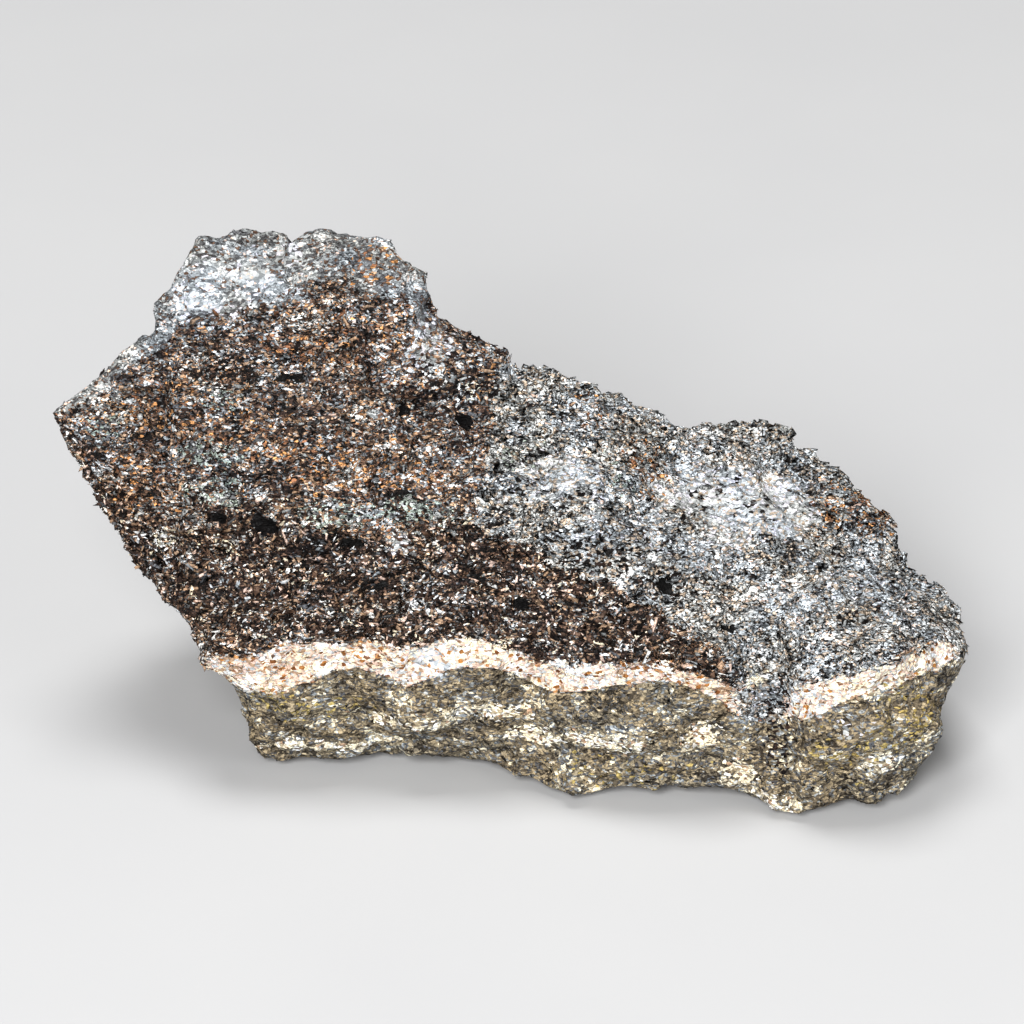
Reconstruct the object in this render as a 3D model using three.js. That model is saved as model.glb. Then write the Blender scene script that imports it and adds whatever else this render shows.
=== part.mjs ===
// A broken hand specimen of lead-bearing skarn, lying on its flat underside.
// It is one piece of rock: a tall hump on the left, a lower shoulder on the right, a sloping
// display face in front, and under that face a short front wall with a pale seam along its top.
//
// Millimetres, +Z up, +X along the length, -Y towards the viewer.
// The origin is on the resting plane, below the middle of the stone's outer box.

import * as THREE from "three";

// Driving dimensions
const LENGTH = 100; // left tip to right end
const HEIGHT = 52.5; // resting plane to the top of the hump

// Where all the lines meet, at the two ends of the stone
const LEFT_TIP = [-0.5 * LENGTH, 5, 35];
const RIGHT_TIP = [0.5 * LENGTH, -12, 15];

// Lines that run the length of the stone, in order round it from underneath, up the front, over the
// top and down the back. Each is given only where it bends, as [x, y, z], and is straight between.
const SOLE_FRONT = [
  [-47, 5, 32], [-44, 3, 26], [-39, 0, 18], [-32, -4, 14], [-28, -6, 7], [-25.5, -8, 0], [-15, -8, 0],
  [0, -10, 0], [15, -13, 0], [32, -18, 0], [41, -15, 0], [44.7, -12, 3], [47.3, -12, 9],
];
const TOE = [
  [-47.5, 2, 32], [-44.5, -1, 26], [-42.5, -3, 22.5], [-40, -5, 20], [-37, -7.5, 17.5], [-33, -10, 15],
  [-31, -10.5, 12], [-28.5, -11, 8.5], [-27.5, -11, 4.5], [-26, -11.5, 2], [-20.5, -12.5, 1.5],
  [-12, -13.5, 3], [-6.5, -14, 2.5], [0.5, -15.5, 2], [3.5, -17.5, 1.5], [7, -19, 1], [14.5, -19.5, 1.5],
  [21, -20, 2],
  [25.5, -20.5, 1.5], [28.5, -22.5, 1], [31.5, -24, 1], [34, -23.5, 1.5], [36.5, -21.5, 1.5],
  [40.5, -22, 2], [42.5, -20.5, 2.5], [44.7, -19, 5], [46.2, -17.5, 7], [47.8, -14.5, 10.5],
];
const SEAM_FOOT = [
  [-47.5, 1.5, 32.5], [-44.5, -2, 27], [-40, -6.5, 21], [-33, -11.5, 15.5], [-31.2, -12.5, 13.5],
  [-28, -14, 11], [-22.5, -15.5, 13], [-17, -16, 12.5], [-11.5, -16.5, 12.5], [-6, -17, 13.5],
  [-1, -18, 14.5], [2.5, -17.5, 13], [5.5, -18, 12.5], [10, -19.5, 14], [15.5, -21, 16],
  [20.5, -21.5, 14.5], [25, -21, 12],
  [28, -20.5, 10.5], [31.5, -22.5, 12], [36.5, -24, 15],
  [42, -22.5, 16], [46.5, -17.5, 15.5], [49, -14, 15.5],
];
const BROW = [
  [-47.5, 1, 33], [-44.5, -3, 28], [-42, -5, 25], [-40, -7, 22], [-36.5, -9.5, 19.5], [-33.5, -12, 16.5],
  [-31.5, -13, 15.5], [-27, -14.5, 16], [-22.5, -15, 17.5], [-17, -15.5, 17], [-11.5, -16, 17],
  [-6, -16.5, 18.5], [-2, -17, 18.5], [1.5, -16.5, 16.5], [4, -16.5, 15], [7, -17, 15], [10, -18.5, 16.5],
  [15.5, -20.5, 18.5], [20.5, -21, 17], [26, -20, 14], [29, -20, 13.5], [31.5, -22, 15.5],
  [36.5, -23.5, 18], [42, -22.5, 20], [46.3, -17, 18.8], [48, -14, 16.8],
];
const FACE_BREAK = [
  [-44.5, 0, 30.5], [-40, -4, 25.5], [-35.5, -6, 26], [-28, -8, 27], [-22.5, -9, 27], [-17, -10, 26.5],
  [-6, -9.5, 28], [1.5, -10, 28], [10, -11, 25.5], [16.5, -9, 24.5], [26.5, -6, 24.5], [32, -8, 23.5],
  [37, -12, 21], [42.5, -15, 20.8], [46.3, -13, 18.6],
];
const RIM_FOOT = [
  [-47.5, 4, 36.5], [-44, 5, 38], [-41, 6, 40.5], [-38, 7, 42.5], [-36.5, 7.5, 45.5], [-33.5, 8, 46.5],
  [-28, 9, 48], [-22.5, 9, 48.5], [-17.5, 9, 49.5], [-11.5, 8.5, 48], [-8.5, 8, 44], [-5, 7.5, 42],
  [-1, 7, 39], [2.5, 6, 37], [8, 6.5, 36], [12.5, 7, 33.5], [17, 7, 31], [21.5, 7, 30], [27.5, 6.5, 30],
  [32.5, 5, 28], [37.5, 1, 25], [42, -1, 20], [45.5, -5, 18.8], [48, -9, 16.6],
];
const CREST = [
  [-46, 7, 38.5], [-42.5, 9, 41], [-39, 10, 42.5], [-38.5, 11, 46], [-35.5, 12, 49.8], [-33, 13, 52],
  [-29.5, 14, HEIGHT], [-25.5, 14, 52], [-24, 14, 50.7], [-22.5, 14, 51.3], [-18.5, 14, 52],
  [-13.5, 13, 51.6], [-11.2, 12.7, 49], [-9, 12.2, 45.3], [-7.5, 12, 43.5], [-4, 11.5, 42],
  [-1.5, 10.5, 41], [1, 10, 39],
  [4, 10, 38], [7.5, 10.5, 36.5], [12.5, 11, 34], [17, 11.5, 31.5], [21.5, 12, 30.5],
  [27.5, 12, 30.5], [31.5, 11.5, 29.5], [32.5, 11, 28], [36, 9, 26], [39.5, 7, 23], [41.5, 5, 20.7],
  [43.5, 3, 18.5], [45.5, 1, 17.8], [47.2, -2, 17.2], [48.7, -6, 15.8],
];
const BACK_SHOULDER = [
  [-46, 13, 35], [-38, 18, 38], [-30, 21, 43], [-18, 22, 41], [-9, 20, 36], [2, 19, 29], [14, 21, 26],
  [26, 20, 23], [36, 16, 19], [43.5, 8, 14.5], [48, -1, 14.5],
];
const BACK_WAIST = [
  [-46, 12, 30], [-38, 19, 25], [-28, 24, 20], [-14, 25.5, 17], [0, 24, 13], [14, 25, 14], [27, 23, 11],
  [38, 16, 9], [44.5, 6, 9], [48, -3, 11],
];
const SOLE_BACK = [
  [-47, 9, 28], [-43, 12, 20], [-36, 15, 9], [-29, 17, 0], [-14, 21, 0], [0, 19, 0], [16, 21, 0],
  [30, 17, 0], [40, 7, 0], [44, 1, 2], [47.5, -6, 8],
];

// The lines in order round the stone, each with the number of strips up to the next one
const ROUND = [
  { line: SOLE_FRONT, strips: 2 },
  { line: TOE, strips: 5 },
  { line: SEAM_FOOT, strips: 3 },
  { line: BROW, strips: 7 },
  { line: FACE_BREAK, strips: 12 },
  { line: RIM_FOOT, strips: 4 },
  { line: CREST, strips: 5 },
  { line: BACK_SHOULDER, strips: 7 },
  { line: BACK_WAIST, strips: 7 },
  { line: SOLE_BACK, strips: 5 },
];
const STATIONS = 76; // rings of points along the length
const END_CROWDING = 0.5; // how far the rings draw together at the two ends, 0 to 1
const ROUNDING = 0.45; // how far a corner between two strips is rounded, 0 to 1

// Relief: the broken surface, laid over the plain form. It comes out the same every time.
const LUMPS = [
  { size: 17, height: 0.9, salt: 1 },
  { size: 8, height: 0.5, salt: 2 },
];
const CHIPS = [
  { size: 12, height: 1.7, salt: 3 },
  { size: 5.5, height: 1.1, salt: 4 },
];
const EDGE_SHARPNESS = 16; // of the edges between two chips
const CHIP_STEP = 0.6; // how far one chip may lie above another, as a share of its height
const QUIET_END = 8; // the relief fades out this near the two tips
const QUIET_SOLE = 2; // and this near the flat underside

// Hollows and ribs: each lies along a line between two points and fades out at its reach.
// A depth above 0 cuts in, and one below 0 stands out.
const HOLLOWS = [
  { from: [-38, -8, 23.5], to: [6, -13, 22.5], reach: 6, depth: 0.9 }, // the crumbling dark bed
  { from: [-41, -5, 23.4], to: [-37, -8.5, 22.4], reach: 2, depth: 1.5 }, // its open left end
  { from: [-41.5, -6, 20], to: [-38.5, -9, 18.6], reach: 2.6, depth: -1.4 }, // and the lobe under that
  { from: [2, 6, 36.5], to: [-1, -5, 31.5], reach: 3.5, depth: 0.9 }, // step beside the hump
  { from: [21, 0, 28], to: [32, -1, 26.5], reach: 9, depth: 1 }, // pale scoop in the right shoulder
  { from: [28, -20.5, 14], to: [30.5, -23, 3], reach: 3.5, depth: 1.6 }, // gully in the front wall
  { from: [-27, -15, 8.5], to: [-10, -16, 9], reach: 7, depth: -0.9 }, // the wall's three swellings
  { from: [11, -19.5, 9], to: [21, -21, 9], reach: 6.5, depth: -0.9 },
  { from: [37, -23, 9], to: [44, -20, 11], reach: 6.5, depth: -0.8 },
  { from: [1, -16.5, 12], to: [4, -18.5, 3], reach: 4, depth: 0.9 }, // the dip between the first two
  { from: [5, -18.5, 5.5], to: [20, -20.5, 6.5], reach: 1.6, depth: 0.8 }, // bedding steps in the wall
  { from: [-25, -14, 4], to: [-8, -15, 4.5], reach: 1.6, depth: 0.7 },
  { from: [33, -23.5, 6], to: [42, -22, 7.5], reach: 1.8, depth: 0.7 },
  { from: [4, -17, 16], to: [2, -12, 22], reach: 3, depth: 0.8 }, // sag in the brow above it
  { from: [-27, -7.5, 28], to: [-26.5, -7.5, 28], reach: 2.6, depth: 1.4 }, // pits in the face
  { from: [-18, -10, 27], to: [-16, -10, 27], reach: 2.4, depth: 1.2 },
  { from: [1.5, -14, 21.5], to: [2, -14, 21.5], reach: 2.4, depth: 1.2 },
  { from: [17, -12, 23], to: [17, -11, 23.5], reach: 2.6, depth: 1.2 },
  { from: [-11, 0, 38.5], to: [-4, 1.5, 37], reach: 2, depth: 0.9 },
  { from: [-24.5, 12.5, 51], to: [-32, 8.5, 47], reach: 1.8, depth: -0.7 }, // vein across the hump
  { from: [-32, 8.5, 47], to: [-37.5, 9, 45.5], reach: 1.8, depth: -0.6 },
  { from: [-38.5, 10, 46], to: [-37, 11, 49], reach: 3, depth: -0.6 }, // the hump's left shoulder
  { from: [-28, 23, 32], to: [-10, 24, 24], reach: 9, depth: 1.3 }, // hollows in the back wall
  { from: [12, 24, 20], to: [28, 22, 14], reach: 8, depth: 1.3 },
];

const STEPS = [-1, 0, 1];
const NEIGHBOURS = STEPS.flatMap((i) => STEPS.flatMap((j) => STEPS.map((k) => [i, j, k])));
const CORNERS = NEIGHBOURS.filter((cell) => Math.min(...cell) >= 0);

// y and z of a line at a given x
function lineAt(line, x) {
  const points = [LEFT_TIP, ...line, RIGHT_TIP];
  const next = Math.max(1, points.findIndex((p) => p[0] >= x));
  const [a, b] = [points[next - 1], points[next]];
  const share = (x - a[0]) / (b[0] - a[0]);
  return [a[1] + (b[1] - a[1]) * share, a[2] + (b[2] - a[2]) * share];
}

// x of a ring, from 0 at the left tip to 1 at the right end
function ringX(share) {
  const even = share - 0.5;
  const crowded = -0.5 * Math.cos(Math.PI * share);
  return LENGTH * (even + (crowded - even) * END_CROWDING);
}

// A point between corner b and corner c of a closed outline, straight or rounded by its neighbours
function between(a, b, c, d, share) {
  const straight = b.clone().lerp(c, share);
  const curve = new THREE.CatmullRomCurve3([a, b, c, d], false, "centripetal");
  return straight.lerp(curve.getPoint((1 + share) / 3), ROUNDING);
}

function ringPoints(x) {
  const corners = ROUND.map(({ line }) => new THREE.Vector3(x, ...lineAt(line, x)));
  const corner = (i) => corners[(i + corners.length) % corners.length];
  return ROUND.flatMap(({ strips }, i) =>
    Array.from({ length: strips }, (_, s) =>
      between(corner(i - 1), corner(i), corner(i + 1), corner(i + 2), s / strips),
    ),
  );
}

// A repeatable random number from 0 to 1 for one cell of space
function chance(i, j, k, salt) {
  let h = Math.imul(i, 374761393) + Math.imul(j, 668265263);
  h += Math.imul(k, 1440662683) + Math.imul(salt, 362437);
  h = Math.imul(h ^ (h >>> 13), 1274126177);
  return ((h ^ (h >>> 16)) >>> 0) / 2 ** 32;
}

// Lumps: random heights on a cubic grid, blended smoothly between its corners, from -1 to 1
function lumpHeight(p, { size, salt }) {
  const cell = [p.x / size, p.y / size, p.z / size];
  const low = cell.map(Math.floor);
  const ease = cell.map((c, i) => (c - low[i]) ** 2 * (3 - 2 * (c - low[i])));
  let sum = 0;
  for (const [i, j, k] of CORNERS) {
    const weight = (i ? ease[0] : 1 - ease[0]) * (j ? ease[1] : 1 - ease[1]) * (k ? ease[2] : 1 - ease[2]);
    sum += weight * chance(low[0] + i, low[1] + j, low[2] + k, salt);
  }
  return 2 * sum - 1;
}

// Chips: space is split among random seeds, one to a cubic cell, and each seed has a slope and a step
// of its own. A point mostly takes those of its nearest seed, so that the surface breaks into small
// flat facets with worn edges. From about -0.8 to 0.8
function chipHeight(p, { size, salt }) {
  const low = [p.x, p.y, p.z].map((c) => Math.floor(c / size));
  let height = 0;
  let total = 0;
  for (const [i, j, k] of NEIGHBOURS) {
    const cell = [low[0] + i, low[1] + j, low[2] + k];
    const away = [p.x, p.y, p.z].map((c, n) => c / size - cell[n] - chance(...cell, salt * 8 + n));
    const lean = away.reduce((sum, a, n) => sum + a * (2 * chance(...cell, salt * 8 + 3 + n) - 1), 0);
    const weight = Math.exp(-EDGE_SHARPNESS * Math.hypot(...away));
    height += weight * (lean + CHIP_STEP * (chance(...cell, salt * 8 + 6) - 0.5));
    total += weight;
  }
  return height / total;
}

// How far below the plain form the hollows and ribs take a point
function hollowDepth(p) {
  return HOLLOWS.reduce((sum, { from, to, reach, depth }) => {
    const line = new THREE.Line3(new THREE.Vector3(...from), new THREE.Vector3(...to));
    const away = line.closestPointToPoint(p, true, new THREE.Vector3()).distanceTo(p);
    return sum + depth * THREE.MathUtils.smoothstep(1 - away / reach, 0, 1);
  }, 0);
}

function reliefHeight(p) {
  const lumps = LUMPS.reduce((sum, lump) => sum + lump.height * lumpHeight(p, lump), 0);
  const chips = CHIPS.reduce((sum, chip) => sum + chip.height * chipHeight(p, chip), 0);
  const endGap = Math.min(...[LEFT_TIP, RIGHT_TIP].map((tip) => p.distanceTo(new THREE.Vector3(...tip))));
  const endQuiet = THREE.MathUtils.smoothstep(endGap, 0, QUIET_END);
  const soleQuiet = THREE.MathUtils.smoothstep(p.z, 0, QUIET_SOLE);
  return endQuiet * soleQuiet * (lumps + chips - hollowDepth(p));
}

const rings = Array.from({ length: STATIONS - 1 }, (_, i) => ringPoints(ringX((i + 1) / STATIONS)));
const around = rings[0].length;
const points = [new THREE.Vector3(...LEFT_TIP), ...rings.flat(), new THREE.Vector3(...RIGHT_TIP)];
const faces = [];
const at = (ring, k) => 1 + ring * around + (k % around);
for (let k = 0; k < around; k++) {
  faces.push([0, at(0, k), at(0, k + 1)]);
  faces.push([points.length - 1, at(rings.length - 1, k + 1), at(rings.length - 1, k)]);
  for (let r = 0; r + 1 < rings.length; r++) {
    faces.push([at(r, k), at(r + 1, k), at(r + 1, k + 1)]);
    faces.push([at(r, k), at(r + 1, k + 1), at(r, k + 1)]);
  }
}

const geometry = new THREE.BufferGeometry().setFromPoints(points);
geometry.setIndex(faces.flat());
geometry.computeVertexNormals();

// Move each point out or in along its normal by the relief, and never through the resting plane
const { position, normal } = geometry.attributes;
points.forEach((p, i) => {
  const outward = new THREE.Vector3().fromBufferAttribute(normal, i);
  const raised = p.clone().addScaledVector(outward, reliefHeight(p));
  position.setXYZ(i, raised.x, raised.y, Math.max(0, raised.z));
});

// The origin goes below the middle of the stone's outer box
geometry.computeBoundingBox();
const middle = geometry.boundingBox.getCenter(new THREE.Vector3());
geometry.translate(-middle.x, -middle.y, 0);

const stone = new THREE.Mesh(
  geometry,
  new THREE.MeshStandardMaterial({ color: 0x7d776f, roughness: 0.85, metalness: 0 }),
);
stone.name = "native_lead_rock";

const specimen = new THREE.Group();
specimen.add(stone);
export default specimen;
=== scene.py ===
"""A hand specimen of native lead in its rock, on a plain pale floor.

The stone is one closed skin, lofted through the same lines as the frame's solid and broken up by the
same relief, with finer chips, ledges, cracks and pits on top. Loose-looking flakes, grains, scales,
splinters and crystals are set into it bed by bed.
"""

import logging
import math
from dataclasses import dataclass, field
from enum import Enum, IntEnum

import bpy
import numpy as np
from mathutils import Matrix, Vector


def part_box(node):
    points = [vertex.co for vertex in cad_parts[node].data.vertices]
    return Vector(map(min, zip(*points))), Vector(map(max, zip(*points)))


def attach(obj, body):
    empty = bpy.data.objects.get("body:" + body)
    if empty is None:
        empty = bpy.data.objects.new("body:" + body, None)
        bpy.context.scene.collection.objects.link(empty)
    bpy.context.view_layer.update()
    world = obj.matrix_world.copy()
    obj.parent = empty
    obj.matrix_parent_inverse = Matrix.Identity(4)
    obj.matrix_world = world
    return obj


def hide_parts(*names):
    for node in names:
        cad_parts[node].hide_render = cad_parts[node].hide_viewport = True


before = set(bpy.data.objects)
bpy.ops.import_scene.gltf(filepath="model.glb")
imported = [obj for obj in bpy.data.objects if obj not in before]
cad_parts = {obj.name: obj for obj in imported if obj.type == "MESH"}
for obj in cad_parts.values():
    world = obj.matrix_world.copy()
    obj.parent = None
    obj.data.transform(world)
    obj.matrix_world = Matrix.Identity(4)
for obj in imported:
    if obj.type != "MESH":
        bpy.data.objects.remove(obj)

LOG = logging.getLogger("native_lead")
MM = 0.001  # the frame is in metres, and the stone's own sizes below are in millimetres
NODE = "native_lead_rock"
AXIS_FACTORS = (374761393, 668265263, 1440662683)
SALT_FACTOR = 362437
MIX_FACTOR = 1274126177
TINY_LENGTH = 1e-9
SEED_NUMBERS = 8  # how many sets of random numbers one set of chips may use
CHIP_STEP = 0.6  # how much the facets differ in height, as a share of their size

Line = tuple[tuple[float, float, float], ...]
Socket = bpy.types.NodeSocket
Value = bpy.types.NodeSocket | float


class Bed(Enum):
    """The kinds of rock that show, each under the name of its mask on the skin."""

    FACE = "face"
    DARK = "dark"
    SEAM = "seam"
    WALL = "wall"
    PALE = "pale"
    RIM = "rim"


class Mark(IntEnum):
    """The lines of the loft that part the beds, by their number round the stone."""

    SOLE_FRONT = 0
    SEAM_FOOT = 2
    BROW = 3
    RIM_FOOT = 5
    CREST = 6


class StainOrShade(Enum):
    """Colourings that come in patches over a bed, each under the name of its mask on the skin: real stains,
    and painted shade round the pits, down the front wall's gully and inside the pits.
    """

    RUST = "rust"
    FROST = "frost"
    CREAM = "cream"
    MOSS = "moss"
    # painted shade: black and umber darkening round the pits and down the front wall's gully, where shade
    # falls
    PAINTED_SHADE = "shade"
    SAGE = "sage"
    # painted shade: near black inside the pits, where shade falls
    PIT_SHADE = "pit"


def ease(value: np.ndarray, low: float, high: float) -> np.ndarray:
    """Smooth step: 0 below low, 1 above high, and 3t^2 - 2t^3 between them."""
    t = np.clip((value - low) / (high - low), 0, 1)
    return t * t * (3 - 2 * t)


def rise(value: np.ndarray, at: float, soft: float) -> np.ndarray:
    """Smooth step from 0 to 1 that is half way up at the given value, and soft wide to each side."""
    return ease(value, at - soft, at + soft)


def within(value: np.ndarray, low: float, high: float, soft: float) -> np.ndarray:
    """1 between low and high and 0 outside them, with a smooth step at each end."""
    return rise(value, low, soft) * (1 - rise(value, high, soft))


def unit(vectors: np.ndarray) -> np.ndarray:
    """Vectors brought to length 1."""
    return vectors / np.maximum(np.linalg.norm(vectors, axis=-1, keepdims=True), TINY_LENGTH)


def linear(colour: tuple[int, int, int]) -> tuple[float, float, float, float]:
    """A screen colour of 0 to 255 as the linear colour that shaders take, with alpha 1."""
    share = np.array(colour) / 255
    value = np.where(share <= 0.04045, share / 12.92, ((share + 0.055) / 1.055) ** 2.4)
    return (float(value[0]), float(value[1]), float(value[2]), 1.0)


def chance(cells: np.ndarray, salt: int) -> np.ndarray:
    """Repeatable random numbers for cells of space, the same ones as under the frame's solid.

    The three whole numbers of a cell are multiplied by large factors and added, and the bits of the sum
    are then mixed twice.

    Args:
        cells: whole numbers, the last axis of length 3.
        salt: picks one of many independent sets.

    Returns:
        Numbers from 0 to 1, one for each cell.
    """
    c = cells.astype(np.int64).astype(np.uint32)
    with np.errstate(over="ignore"):
        h = (c * np.array(AXIS_FACTORS, np.uint32)).sum(axis=-1, dtype=np.uint32)
        h = h + np.uint32(salt * SALT_FACTOR)
        h = (h ^ (h >> np.uint32(13))) * np.uint32(MIX_FACTOR)
    return (h ^ (h >> np.uint32(16))) / 2.0**32


def lumps(points: np.ndarray, size: float, salt: int) -> np.ndarray:
    """Random heights on a cubic grid, blended smoothly between the eight corners, from -1 to 1.

    Args:
        points: positions in mm, the last axis of length 3.
        size: edge of a cube of the grid in mm.
        salt: picks one of many independent sets.

    Returns:
        One height for each point.
    """
    cell = points / size
    low = np.floor(cell)
    t = ease(cell - low, 0, 1)
    total = np.zeros(points.shape[:-1])
    for corner in np.ndindex(2, 2, 2):
        share = np.where(corner, t, 1 - t).prod(axis=-1)
        total += share * chance(low + corner, salt)
    return 2 * total - 1


def chips(points: np.ndarray, size: float, salt: int, sharpness: float = 16) -> np.ndarray:
    """Facets: each point takes the slope and step of its nearest random seed, from about -0.8 to 0.8.

    Space holds one seed to a cube. A seed counts by the exponential of minus its distance, so the
    facets are nearly flat and the edges between them a little worn.

    Args:
        points: positions in mm, the last axis of length 3.
        size: edge of a seed's cube in mm.
        salt: picks one of many independent sets.
        sharpness: of the edges between two facets.

    Returns:
        One height for each point.
    """
    low = np.floor(points / size)
    height = np.zeros(points.shape[:-1])
    total = np.zeros(points.shape[:-1])
    for step in np.ndindex(3, 3, 3):
        cell = low + np.array(step) - 1
        first = salt * SEED_NUMBERS
        seed = np.stack([chance(cell, first + n) for n in range(3)], axis=-1)
        slope = np.stack([2 * chance(cell, first + 3 + n) - 1 for n in range(3)], axis=-1)
        own_step = CHIP_STEP * (chance(cell, first + 6) - 0.5)
        away = points / size - cell - seed
        weight = np.exp(-sharpness * np.linalg.norm(away, axis=-1))
        height += weight * ((away * slope).sum(axis=-1) + own_step)
        total += weight
    return height / total


@dataclass(frozen=True)
class Hollow:
    """A cut along a line between two points, fading out at its reach, in mm. Below 0 it is a rib."""

    start: tuple[float, float, float]
    end: tuple[float, float, float]
    reach: float
    depth: float

    def below(self, points: np.ndarray) -> np.ndarray:
        """Depth at each point: the full depth on the line, and a smooth step down to 0 at the reach."""
        start, along = np.array(self.start), np.array(self.end) - np.array(self.start)
        share = np.clip(((points - start) @ along) / (along @ along), 0, 1)
        away = np.linalg.norm(points - start - share[..., None] * along, axis=-1)
        return self.depth * ease(1 - away / self.reach, 0, 1)


@dataclass
class StoneForm:
    """The stone's plain form, a loft through lines that run its length, as in the frame's solid."""

    length: float = 100.0
    left_tip: tuple[float, float, float] = (-50.0, 5, 35)
    right_tip: tuple[float, float, float] = (50.0, -12, 15)
    end_crowding: float = 0.5
    rounding: float = 0.45
    stations: int = 322
    sole_front: Line = (
        (-47, 5, 32), (-44, 3, 26), (-39, 0, 18), (-32, -4, 14), (-28, -6, 7), (-25.5, -8, 0),
        (-15, -8, 0), (0, -10, 0), (15, -13, 0), (32, -18, 0), (41, -15, 0), (44.7, -12, 3),
        (47.3, -12, 9),
    )
    toe: Line = (
        (-47.5, 2, 32), (-44.5, -1, 26), (-42.5, -3, 22.5), (-40, -5, 20), (-37, -7.5, 17.5),
        (-33, -10, 15), (-31, -10.5, 12), (-28.5, -11, 8.5), (-27.5, -11, 4.5), (-26, -11.5, 2),
        (-20.5, -12.5, 1.5), (-12, -13.5, 3), (-6.5, -14, 2.5), (0.5, -15.5, 2), (3.5, -17.5, 1.5),
        (7, -19, 1), (14.5, -19.5, 1.5), (21, -20, 2), (25.5, -20.5, 1.5), (28.5, -22.5, 1),
        (31.5, -24, 1), (34, -23.5, 1.5), (36.5, -21.5, 1.5), (40.5, -22, 2), (42.5, -20.5, 2.5),
        (44.7, -19, 5), (46.2, -17.5, 7), (47.8, -14.5, 10.5),
    )
    seam_foot: Line = (
        (-47.5, 1.5, 32.5), (-44.5, -2, 27), (-40, -6.5, 21), (-33, -11.5, 15.5), (-31.2, -12.5, 13.5),
        (-28, -14, 11), (-22.5, -15.5, 13), (-17, -16, 12.5), (-11.5, -16.5, 12.5), (-6, -17, 13.5),
        (-1, -18, 14.5), (2.5, -17.5, 13), (5.5, -18, 12.5), (10, -19.5, 14), (15.5, -21, 16),
        (20.5, -21.5, 14.5), (25, -21, 12), (28, -20.5, 10.5), (31.5, -22.5, 12), (36.5, -24, 15),
        (42, -22.5, 16), (46.5, -17.5, 15.5), (49, -14, 15.5),
    )
    brow: Line = (
        (-47.5, 1, 33), (-44.5, -3, 28), (-42, -5, 25), (-40, -7, 22), (-36.5, -9.5, 19.5),
        (-33.5, -12, 16.5), (-31.5, -13, 15.5), (-27, -14.5, 16), (-22.5, -15, 17.5), (-17, -15.5, 17),
        (-11.5, -16, 17), (-6, -16.5, 18.5), (-2, -17, 18.5), (1.5, -16.5, 16.5), (4, -16.5, 15),
        (7, -17, 15), (10, -18.5, 16.5), (15.5, -20.5, 18.5), (20.5, -21, 17), (26, -20, 14),
        (29, -20, 13.5), (31.5, -22, 15.5), (36.5, -23.5, 18), (42, -22.5, 20), (46.3, -17, 18.8),
        (48, -14, 16.8),
    )
    face_break: Line = (
        (-44.5, 0, 30.5), (-40, -4, 25.5), (-35.5, -6, 26), (-28, -8, 27), (-22.5, -9, 27),
        (-17, -10, 26.5), (-6, -9.5, 28), (1.5, -10, 28), (10, -11, 25.5), (16.5, -9, 24.5),
        (26.5, -6, 24.5), (32, -8, 23.5), (37, -12, 21), (42.5, -15, 20.8), (46.3, -13, 18.6),
    )
    rim_foot: Line = (
        (-47.5, 4, 36.5), (-44, 5, 38), (-41, 6, 40.5), (-38, 7, 42.5), (-36.5, 7.5, 45.5),
        (-33.5, 8, 46.5), (-28, 9, 48), (-22.5, 9, 48.5), (-17.5, 9, 49.5), (-11.5, 8.5, 48),
        (-8.5, 8, 44), (-5, 7.5, 42), (-1, 7, 39), (2.5, 6, 37), (8, 6.5, 36), (12.5, 7, 33.5),
        (17, 7, 31), (21.5, 7, 30), (27.5, 6.5, 30), (32.5, 5, 28), (37.5, 1, 25), (42, -1, 20),
        (45.5, -5, 18.8), (48, -9, 16.6),
    )
    crest: Line = (
        (-46, 7, 38.5), (-42.5, 9, 41), (-39, 10, 42.5), (-38.5, 11, 46), (-35.5, 12, 49.8), (-33, 13, 52),
        (-29.5, 14, 52.5), (-25.5, 14, 52), (-24, 14, 50.7), (-22.5, 14, 51.3), (-18.5, 14, 52),
        (-13.5, 13, 51.6), (-11.2, 12.7, 49), (-9, 12.2, 45.3), (-7.5, 12, 43.5), (-4, 11.5, 42),
        (-1.5, 10.5, 41), (1, 10, 39), (4, 10, 38), (7.5, 10.5, 36.5), (12.5, 11, 34), (17, 11.5, 31.5),
        (21.5, 12, 30.5), (27.5, 12, 30.5), (31.5, 11.5, 29.5), (32.5, 11, 28), (36, 9, 26), (39.5, 7, 23),
        (41.5, 5, 20.7), (43.5, 3, 18.5), (45.5, 1, 17.8), (47.2, -2, 17.2), (48.7, -6, 15.8),
    )
    back_shoulder: Line = (
        (-46, 13, 35), (-38, 18, 38), (-30, 21, 43), (-18, 22, 41), (-9, 20, 36), (2, 19, 29),
        (14, 21, 26), (26, 20, 23), (36, 16, 19), (43.5, 8, 14.5), (48, -1, 14.5),
    )
    back_waist: Line = (
        (-46, 12, 30), (-38, 19, 25), (-28, 24, 20), (-14, 25.5, 17), (0, 24, 13), (14, 25, 14),
        (27, 23, 11), (38, 16, 9), (44.5, 6, 9), (48, -3, 11),
    )
    sole_back: Line = (
        (-47, 9, 28), (-43, 12, 20), (-36, 15, 9), (-29, 17, 0), (-14, 21, 0), (0, 19, 0), (16, 21, 0),
        (30, 17, 0), (40, 7, 0), (44, 1, 2), (47.5, -6, 8),
    )

    @property
    def strips(self) -> list[tuple[Line, int]]:
        """The lines in order round the stone, each with its number of columns up to the next one."""
        return [
            (self.sole_front, 8),
            (self.toe, 40),
            (self.seam_foot, 16),
            (self.brow, 36),
            (self.face_break, 82),
            (self.rim_foot, 26),
            (self.crest, 20),
            (self.back_shoulder, 30),
            (self.back_waist, 30),
            (self.sole_back, 8),
        ]

    def ring_x(self) -> np.ndarray:
        """x of every ring: even steps, mixed with cosine steps that crowd towards the two tips."""
        share = np.arange(1, self.stations) / self.stations
        even = share - 0.5
        crowded = -0.5 * np.cos(np.pi * share)
        return self.length * (even + (crowded - even) * self.end_crowding)

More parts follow.
